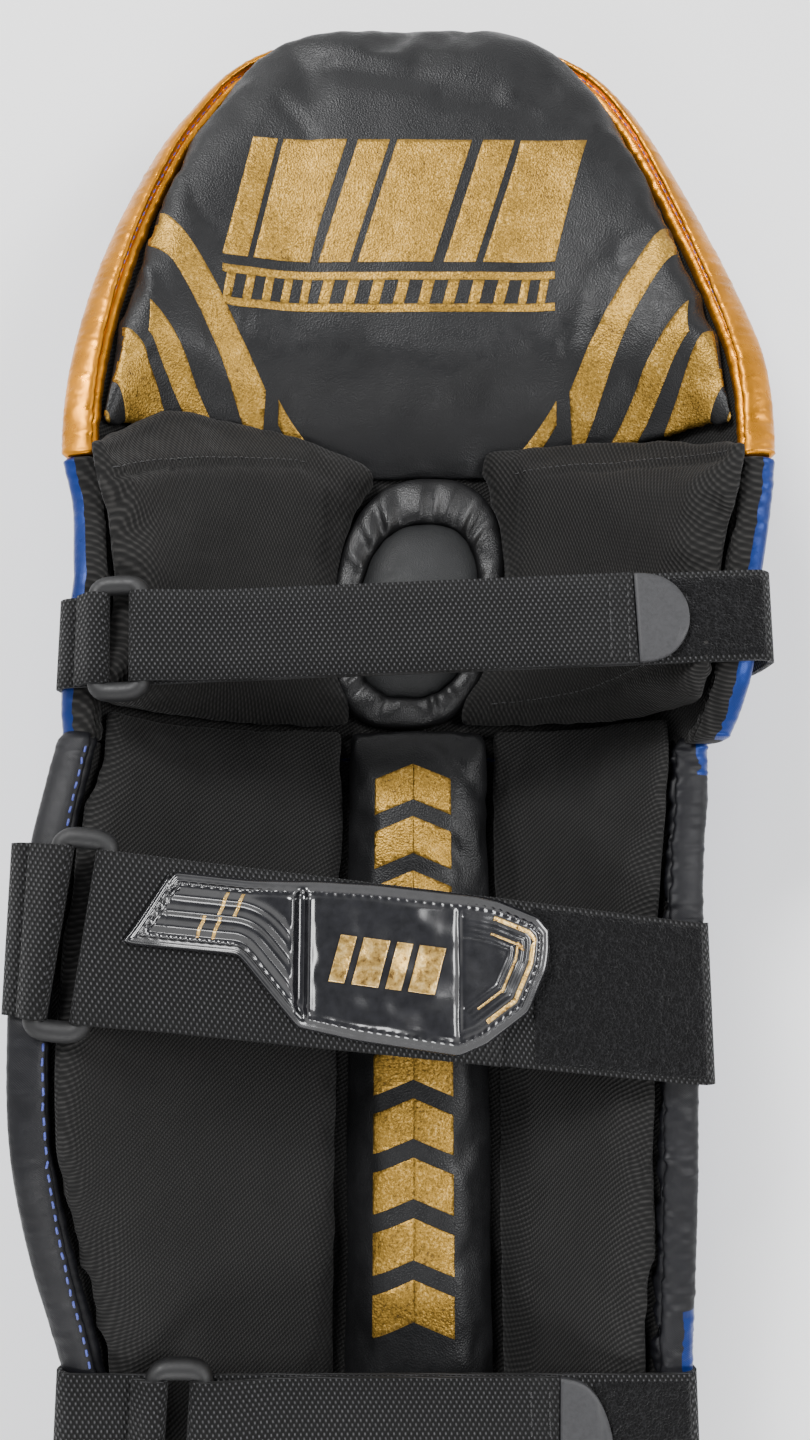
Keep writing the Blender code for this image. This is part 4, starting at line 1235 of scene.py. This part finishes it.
# Edges: node, material, slot, depth of the wrinkles, waviness of the strip, outer line
EDGES = (
    ("top_binding", GOLD_SATIN, "gold_satin", 0.00055, 0.10, None),
    ("knee_binding_left", BOLSTER_TWILL, "black_fabric", 0.0004, 0.1, BLUE_SATIN),
    ("knee_binding_right", BOLSTER_TWILL, "black_fabric", 0.0007, 0.1, BLUE_SATIN),
    ("shin_binding_left", EDGE_SATIN, "black_leather", 0.0005, 0.1, None),
    ("shin_binding_right", EDGE_SATIN, "black_leather", 0.0015, 0.6, BLUE_SATIN),
)


def make_bindings():
    """Gold edge round the thigh, cloth edges with a blue line at the knee, black edges below."""
    seams = {}
    for node, material, slot, wrinkle, strip_wave, line_material in EDGES:
        piece, seam = rolled_edge(node, material, wrinkle, strip_wave, line_material)
        seams[node] = (piece, seam)
    return seams


# Straps

# How much the rings grow, how far the pile reaches under a strap's end piece, and how far
# it ends before the bend
RING_SPARE = 0.0019
PILE_UNDER = 0.006
PILE_END = 0.0035
# Spacing of the pile's points, which is its thickness too
PILE_STEP = 0.0007
# Slope of each strap: rise in y over run in x
LEANS = {"knee": 0.035, "calf": -0.115, "ankle": -0.030}
# Parts of a strap: name, material, slot
STRAP_PARTS = (
    ("strap", WEBBING, "webbing"),
    ("ring_tab", WEBBING, "webbing"),
    ("ring", RING_PLASTIC, "ring_plastic"),
    ("strap_tip", TIP_PU, "ring_plastic"),
)


def make_straps():
    """Straps, tabs, rings and tips, each from its node with finer bends."""
    straps = {}
    for name, lean in LEANS.items():
        for part, material, slot in STRAP_PARTS:
            node = "%s_%s" % (name, part)
            if node not in NODES:
                continue
            piece = new_object(node + "_finished", welded(node, node + "_finished"), material)
            sharp = None if part == "ring" else math.radians(50.0)
            subdivide(piece, 2, sharp)
            dress(piece.data, material)
            if part == "ring":
                grow(piece.data, RING_SPARE)
            strap_uv(piece, lean)
            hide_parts(node)
            if part == "strap":
                straps[name] = piece
    ends = {}
    for name, strap in straps.items():
        end = "calf_badge" if name == "calf" else name + "_strap_tip"
        low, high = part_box(end)
        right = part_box(name + "_strap")[1].x
        make_pile(name + "_pile", strap, high.x - PILE_UNDER, right - PILE_END)
        if name != "calf":
            ends[name] = (strap, low.x)
    return ends


def make_prints(pads):
    """Gold prints: stripes, slanted blocks over a barred line, and chevrons on the shin."""
    outlines = [mirrored(stripe, side) for stripe in STRIPES for side in (-1, 1)]
    stripes = cut_film("print_stripes", pads["thigh_cushion"], outlines, GOLD_PRINT)

    blocks = []
    width = EMBLEM_RIGHT - EMBLEM_LEFT - EMBLEM_LEAN
    for share, size in EMBLEM_BLOCKS:
        left = EMBLEM_LEFT + share * width
        blocks.append(slanted(left, left + size * width, EMBLEM_LOW, EMBLEM_HIGH, EMBLEM_LEAN))
    for low, high in ((EMBLEM_BAR_HIGH - EMBLEM_RAIL, EMBLEM_BAR_HIGH),
                      (EMBLEM_BAR_LOW, EMBLEM_BAR_LOW + EMBLEM_RAIL)):
        blocks.append(slanted(EMBLEM_LEFT, EMBLEM_RIGHT - EMBLEM_LEAN, low, high, 0.0))
    pitch = width / EMBLEM_DASHES
    overlap = 0.0001
    for number in range(EMBLEM_DASHES):
        left = EMBLEM_LEFT + number * pitch
        blocks.append(slanted(left, left + 0.45 * pitch, EMBLEM_BAR_LOW + EMBLEM_RAIL - overlap,
                              EMBLEM_BAR_HIGH - EMBLEM_RAIL + overlap, 0.25 * pitch))
    emblem = cut_film("print_emblem", pads["thigh_cushion"], blocks, GOLD_PRINT)

    chevrons = []
    middle = (BAR_PRINT_LEFT + BAR_PRINT_RIGHT) / 2
    for number in range(int((BAR_PRINT_TOP - BAR_PRINT_LOW) / CHEVRON_PITCH)):
        top = BAR_PRINT_TOP - number * CHEVRON_PITCH
        for edge in (BAR_PRINT_LEFT, BAR_PRINT_RIGHT):
            chevrons.append([(edge, top - CHEVRON_RISE), (middle, top), (middle, top - CHEVRON_BAND),
                             (edge, top - CHEVRON_BAND - CHEVRON_RISE)])
    shin = cut_film("print_shin", pads["shin_bar_pad"], chevrons, GOLD_PRINT)


def slice_range(mesh, x):
    """Lowest and highest y of a mesh's outline on the line of one x."""
    points = coordinates(mesh)
    found = []
    for edge in mesh.edges:
        first, second = points[edge.vertices[0]], points[edge.vertices[1]]
        if min(first[0], second[0]) <= x <= max(first[0], second[0]):
            run = second[0] - first[0]
            share = 0.5 if abs(run) < 1e-9 else (x - first[0]) / run
            found.append(first[1] + (second[1] - first[1]) * share)
    return min(found), max(found)


# Badge

# Grid of the badge and its margin at both ends
BADGE_COLUMNS = 340
BADGE_ROWS = 84
BADGE_SPARE = 0.0004
BADGE_THICK = 0.0040
# Slant of the badge's left end, as a share of its length
BADGE_SLANT = 0.098
# Neighbours that smooth its edges, and passes that soften its relief
BADGE_NEIGHBOURS = 3
BADGE_SOFTENING = 2
# Relief, each as (height, distance, width): bead and embossed stitches along the border,
# ribs of the left part from its lower side, ribs of the right end from the border
BADGE_BEAD = (0.0007, 0.0024, 0.0006)
BADGE_STITCHES = (0.0009, 0.0036, 0.0005)
BADGE_STITCH_PITCH = 0.0030
BADGE_RIBS = ((0.0014, 0.0075, 0.0013), (0.0014, 0.0125, 0.0013), (0.0014, 0.0175, 0.0013))
BADGE_END_RIBS = ((0.0008, 0.0082, 0.00045), (0.0008, 0.0100, 0.00045), (0.0008, 0.0118, 0.00045),
                  (0.0008, 0.0136, 0.00045))
# Cross groove and start of the right end, as shares of the badge's length
BADGE_GROOVE = 0.405
BADGE_END = 0.775
# Gold blocks: where their field starts and ends as shares of the badge's length, then for
# each block the share of the way over the field and the share of its width
BADGE_FIELD = (0.455, 0.735)
BADGE_BLOCKS = ((0.05, 0.13), (0.24, 0.22), (0.52, 0.13), (0.71, 0.22))
BADGE_BLOCK_HALF = 0.0075
BADGE_BLOCK_LEAN = 0.004
# Gold marks on the ribs: shares of the badge's length and of its width there
BADGE_MARKS = ((0.215, 0.62), (0.250, 0.62), (0.165, 0.30), (0.200, 0.30))
BADGE_MARK_WIDTH = 0.0011
BADGE_MARK_LEAN = 0.0025
BADGE_MARK_ENDS = (-0.003, 0.004)
# Gold lines round the right end: distances from the border, and where they start
BADGE_LINES = ((0.0056, 0.0070), (0.0112, 0.0119))
BADGE_LINES_FROM = 0.80


def badge_grid(solid):
    """Places over the badge, sheared along its slanted left end, and the ends of each column."""
    low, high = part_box("calf_badge")
    length = high.x - low.x
    even = np.linspace(0.0, 1.0, BADGE_COLUMNS)
    shares = 0.45 * even + 0.55 * (0.5 - 0.5 * np.cos(math.pi * even))
    xs = low.x + BADGE_SPARE + (length - 2 * BADGE_SPARE) * shares
    edges = np.array([slice_range(solid, x) for x in xs])
    near = BADGE_NEIGHBOURS
    edges[near:-near] = sum(edges[near + step:len(edges) - near + step]
                            for step in range(-near, near + 1)) / (2 * near + 1)
    slant = BADGE_SLANT * length
    straight = (xs > low.x + slant + 0.001) & (xs < low.x + slant + 0.012)
    slope, rest = np.polyfit(xs[straight], edges[straight, 1], 1)
    tops = np.where(xs > low.x + slant, edges[:, 1], slope * xs + rest)
    share = np.tile(np.linspace(0.0, 1.0, BADGE_ROWS), BADGE_COLUMNS)
    x = np.repeat(xs, BADGE_ROWS)
    x = x + slant * share * np.clip(1.0 - (x - low.x) / (2.5 * slant), 0.0, 1.0)
    floor = np.interp(x, xs, edges[:, 0])
    roof = np.interp(x, xs, tops)
    return x, floor + (roof - floor) * share, floor, roof


def badge_crown(x, y, floor, roof, part):
    """Height of the solid's top at the grid's places, as a smooth surface."""
    low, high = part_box("calf_badge")
    side = 0.0016
    end = 0.003
    tree = Surface(NODES["calf_badge"])
    top = []
    for px, py, lowest, highest in zip(x, y, floor, roof):
        inner_x = min(max(px, low.x + end), high.x - end)
        inner_y = min(max(py, lowest + side), highest - side)
        found = tree.drop(inner_x, inner_y)
        top.append(found[0].z if found else np.nan)
    top = np.array(top)
    known = ~np.isnan(top)
    terms = np.stack([part ** power for power in range(6)] + [y, y * part], axis=1)
    return terms @ np.linalg.lstsq(terms[known], top[known], rcond=None)[0]


def raised(distance, row):
    """Ridge from its (height, distance, width) row."""
    height, place, width = row
    return height * ridge(distance, place, width)


def badge_relief(x, y, part, length, outline, lower):
    """Height over the crown: flange, bead, stitches, groove, ribs and a rippled field."""
    border, way = path_distance(x, y, outline)
    from_low = path_distance(x, y, lower)[0]
    relief = -0.0034 + 0.0016 * soft_step(0.0, 0.0008, border)
    relief += 0.0016 * soft_step(0.0026, 0.0036, border)
    relief += raised(border, BADGE_BEAD)
    dashes = 0.5 + 0.5 * np.sin(math.tau * way / BADGE_STITCH_PITCH)
    relief += raised(border, BADGE_STITCHES) * dashes
    field = soft_step(0.0048, 0.0058, border)
    relief += field * 0.0006
    gap = np.abs(part - BADGE_GROOVE) * length
    relief -= 0.0022 * (1.0 - soft_step(0.0010, 0.0024, gap)) * soft_step(0.0026, 0.004, border)
    relief += 0.0007 * ridge(gap, 0.0030, 0.0006) * field
    left = soft_step(0.000, 0.010, BADGE_GROOVE - 0.020 - part)
    for rib in BADGE_RIBS:
        relief += left * field * raised(from_low, rib)
    right = soft_step(BADGE_END - 0.005, BADGE_END + 0.010, part)
    for rib in BADGE_END_RIBS:
        relief += right * raised(border, rib)
    relief -= 0.0009 * ridge(np.abs(part - BADGE_END) * length, 0.0, 0.0008) * field
    middle = soft_step(0.43, 0.45, part) * (1.0 - right)
    flat = np.stack([x, y * 1.3, np.zeros_like(x)], axis=1)
    ripple = noise_at(flat, 75.0, 4.0) + 0.35 * noise_at(flat, 150.0, 9.0)
    relief += field * (0.00070 * middle + 0.00015) * ripple
    relief = relief.reshape(BADGE_COLUMNS, BADGE_ROWS)
    for _ in range(BADGE_SOFTENING):
        wide = np.pad(relief, 1, mode="edge")
        relief = (wide[:-2, 1:-1] + wide[2:, 1:-1] + wide[1:-1, :-2] + wide[1:-1, 2:] + 2 * relief) / 6
    return relief.ravel()


def badge_faces():
    """Faces of the grid, its rim in order, and the wall and floor under it."""
    rows = BADGE_ROWS
    columns = BADGE_COLUMNS
    size = rows * columns
    faces = sheet_faces(columns, rows)
    rim = list(range(rows))
    rim += [column * rows + rows - 1 for column in range(1, columns)]
    rim += [(columns - 1) * rows + row for row in range(rows - 2, -1, -1)]
    rim += [column * rows for column in range(columns - 2, 0, -1)]
    for number in range(len(rim)):
        after = (number + 1) % len(rim)
        faces.append((rim[number], rim[after], size + after, size + number))
    faces.append([size + number for number in range(len(rim))])
    return faces, rim


def badge_prints(badge, solid, outline):
    """Gold blocks on the field, marks on the ribs and lines round the right end."""
    low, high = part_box("calf_badge")
    length = high.x - low.x
    left, right = [low.x + share * length for share in BADGE_FIELD]
    centre = [np.mean(slice_range(solid, at)) for at in (left, right)]
    slope = (centre[1] - centre[0]) / (right - left)
    blocks = []
    for start, width in BADGE_BLOCKS:
        first = left + start * (right - left)
        last = first + width * (right - left)
        base = [centre[0] + slope * (at - left) for at in (first, last)]
        blocks.append([(first, base[0] - BADGE_BLOCK_HALF), (last, base[1] - BADGE_BLOCK_HALF),
                       (last + BADGE_BLOCK_LEAN, base[1] + BADGE_BLOCK_HALF),
                       (first + BADGE_BLOCK_LEAN, base[0] + BADGE_BLOCK_HALF)])

    marks = []
    for share_x, share_y in BADGE_MARKS:
        at = low.x + share_x * length
        edge_low, edge_high = slice_range(solid, at)
        base = edge_low + share_y * (edge_high - edge_low)
        marks.append(slanted(at, at + BADGE_MARK_WIDTH, base + BADGE_MARK_ENDS[0], base + BADGE_MARK_ENDS[1],
                             BADGE_MARK_LEAN))

    strips = []
    first = int(BADGE_LINES_FROM * BADGE_COLUMNS)
    line = outline[first:2 * BADGE_COLUMNS - first]
    for near, far in BADGE_LINES:
        bands = []
        for before, place, after in zip(line, line[3:], line[6:]):
            run = Vector((after[0] - before[0], after[1] - before[1])).normalized()
            inward = Vector((-run.y, run.x))
            bands.append([(place[0] + inward.x * deep, place[1] + inward.y * deep) for deep in (near, far)])
        for start, stop in zip(bands[::4], bands[4::4]):
            strips.append([start[0], stop[0], stop[1], start[1]])

    for name, outlines, lift, thick in (("badge_emblem", blocks, 0.0007, 0.0012),
                                        ("badge_slashes", marks, 0.0003, 0.0006),
                                        ("badge_lines", strips, 0.0003, 0.0006)):
        film = cut_film(name, badge, outlines, GOLD_MOULD, lift, thick, same_places, same_places)


def make_badge():
    """Moulded badge with its gold prints."""
    solid = welded("calf_badge", "badge_line")
    low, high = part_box("calf_badge")
    length = high.x - low.x
    x, y, floor, roof = badge_grid(solid)
    places = list(zip(x, y))
    lower = places[::BADGE_ROWS]
    upper = places[BADGE_ROWS - 1::BADGE_ROWS]
    outline = lower + upper[::-1] + places[BADGE_ROWS - 2::-1]
    part = (x - low.x) / length
    top = badge_crown(x, y, floor, roof, part)
    z = top + badge_relief(x, y, part, length, outline, lower)
    faces, rim = badge_faces()
    vertices = [Vector(point) for point in zip(x, y, z)]
    vertices += [Vector((x[number], y[number], top[number] - BADGE_THICK)) for number in rim]
    badge = new_object("badge_moulding", mesh_from("badge_moulding", vertices, faces), BADGE_GLOSS)
    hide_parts("calf_badge")
    pad_uv(badge)
    badge_prints(badge, solid, outline)


# Pile and stitches

def make_pile(name, strap, start, stop):
    """Fuzzy loops on the lower layer of a strap, between two places in x."""
    surface = Surface(strap)
    step = PILE_STEP
    edge = 0.0016
    fade = 0.001
    xs = np.arange(start, stop, step)
    rows = None
    vertices = []
    for x in xs:
        low, high = slice_range(strap.data, x)
        rows = rows or int((high - low) / step)
        for row in range(rows):
            y = low + edge + (high - low - 2 * edge) * row / (rows - 1)
            found = surface.drop(x, y)
            base = found[0].z if found else vertices[-1].z
            inside = min(row, rows - 1 - row) / 3 + 0.001
            inside = min(1.0, inside, (x - start) / fade + 0.1, (stop - x) / fade + 0.1)
            tuft = noise.noise(Vector((x, y, 0.0)) * 620.0) + 0.8 * noise.noise(Vector((x, y, 3.0)) * 230.0)
            vertices.append(Vector((x, y, base + (0.0007 + 0.00055 * tuft) * inside - 0.0001)))
    piece = new_object(name, mesh_from(name, vertices, sheet_faces(len(xs), rows)), PILE)
    thicken(piece, step)
    pad_uv(piece)


# Threads: half thickness on the edges, and (pitch, length, half thickness) on seams and ends
EDGE_THREAD = 0.00040
SEAM_STITCH = (0.0034, 0.0022, 0.00024)
END_STITCH = (0.0030, 0.0021, 0.00026)
# Stitches along the edges: node, pitch, length
EDGE_STITCHES = (
    ("top_binding", 0.0042, 0.0026),
    ("shin_binding_left", 0.0046, 0.0030),
    ("knee_binding_left", 0.0046, 0.0030),
)
# Seams of the bolsters that are sewn through, and how far the stitches lie beside them
BOLSTER_SEAMS = (("bolster_left", BOLSTER_BAND), ("bolster_right", BOLSTER_BAND_RIGHT),
                 ("bolster_right", BOLSTER_LOW_RIGHT))
BESIDE_SEAM = 0.0026
# Rows of stitches on a strap before its tip, and their distance from its edges
BEFORE_TIP = (0.0022, 0.0085)
FROM_EDGE = 0.003


def make_sewing(pads, seams, straps):
    """Blue thread on the gold and the left edge, black thread on cushions and straps."""
    for node, pitch, length in EDGE_STITCHES:
        piece, seam = seams[node]
        stitches = stitch_row(node + "_stitches", Surface(piece).at, seam[6:-6], pitch, length,
                              EDGE_THREAD, BLUE_THREAD)
    for number, (pad, path) in enumerate(BOLSTER_SEAMS):
        stitches = stitch_row("bolster_stitches_%d" % number, Surface(pads[pad]).at,
                              shifted(path, BESIDE_SEAM), *SEAM_STITCH, BLACK_THREAD)
    for name, (strap, tip) in straps.items():
        surface = Surface(strap)
        for number, back in enumerate(BEFORE_TIP):
            x = tip - back
            low, high = slice_range(strap.data, x)
            path = [(x, low + FROM_EDGE), (x, high - FROM_EDGE)]
            stitches = stitch_row("%s_end_stitches_%d" % (name, number), surface.drop, path,
                                  *END_STITCH, BLACK_THREAD)


def shifted(path, distance):
    """Line moved along the pad by a distance."""
    return [(across, along + distance) for across, along in path]


# Room

# Lamps: name, place, width, power
LAMPS = (
    ("key", (-0.55, 0.75, 1.15), 0.50, 24.0),
    ("fill", (0.85, 0.10, 1.05), 0.60, 14.0),
    ("low", (-0.10, -0.95, 0.90), 0.50, 8.0),
)
LAMP_TARGET = (0.0, 0.0, 0.05)


def make_room():
    """Pale floor, soft studio light and the photo's camera."""
    floor = bpy.data.meshes.new("floor")
    size = 6.0
    floor.from_pydata([(-size, -size, 0), (size, -size, 0), (size, size, 0), (-size, size, 0)], [],
                      [(0, 1, 2, 3)])
    finish = Finish("floor_paint", (0.93, 0.93, 0.93), 0.9)
    finish.paint(finish.noise(3.0, 2.0), (0.3, (0.92, 0.92, 0.92)), (0.7, (0.94, 0.94, 0.94)))
    floor.materials.append(finish.material)
    stage = bpy.data.objects.new("floor", floor)
    stage.location.z = -0.0005
    SCENE.collection.objects.link(stage)

    world = bpy.data.worlds.new("studio")
    SCENE.world = world
    world.use_nodes = True
    tree = world.node_tree
    background = tree.nodes["Background"]
    background.inputs[1].default_value = 1.35
    direction = tree.nodes.new("ShaderNodeTexCoord")
    parts = tree.nodes.new("ShaderNodeSeparateXYZ")
    sky = tree.nodes.new("ShaderNodeValToRGB")
    tree.links.new(direction.outputs["Generated"], parts.inputs[0])
    tree.links.new(parts.outputs["Z"], sky.inputs[0])
    tree.links.new(sky.outputs[0], background.inputs[0])
    sky.color_ramp.elements[0].position = 0.45
    sky.color_ramp.elements[0].color = (1.0, 1.0, 1.0, 1.0)
    sky.color_ramp.elements[1].position = 0.92
    sky.color_ramp.elements[1].color = (0.16, 0.165, 0.18, 1.0)

    for name, place, width, power in LAMPS:
        data = bpy.data.lights.new(name, "AREA")
        data.shape = "RECTANGLE"
        data.size = width
        data.size_y = width * 0.7
        data.energy = power
        lamp = bpy.data.objects.new(name, data)
        lamp.location = place
        lamp.rotation_euler = (Vector(LAMP_TARGET) - lamp.location).to_track_quat("-Z", "Y").to_euler()
        SCENE.collection.objects.link(lamp)

    data = bpy.data.cameras.new("camera")
    data.lens = LENS
    data.sensor_width = SENSOR
    data.sensor_fit = "AUTO"
    data.clip_start = 0.01
    camera = bpy.data.objects.new("camera", data)
    camera.location = (EYE_ACROSS + SHIFT_X, EYE_ALONG + SHIFT_Y, EYE_HEIGHT)
    camera.rotation_euler = (EYE_TILT, 0.0, 0.0)
    SCENE.collection.objects.link(camera)
    SCENE.camera = camera


make_room()
pads = make_pads()
shape_pads(pads)
make_cup()
make_faces()
make_gussets()
seams = make_bindings()
straps = make_straps()
make_badge()
make_prints(pads)
make_sewing(pads, seams, straps)
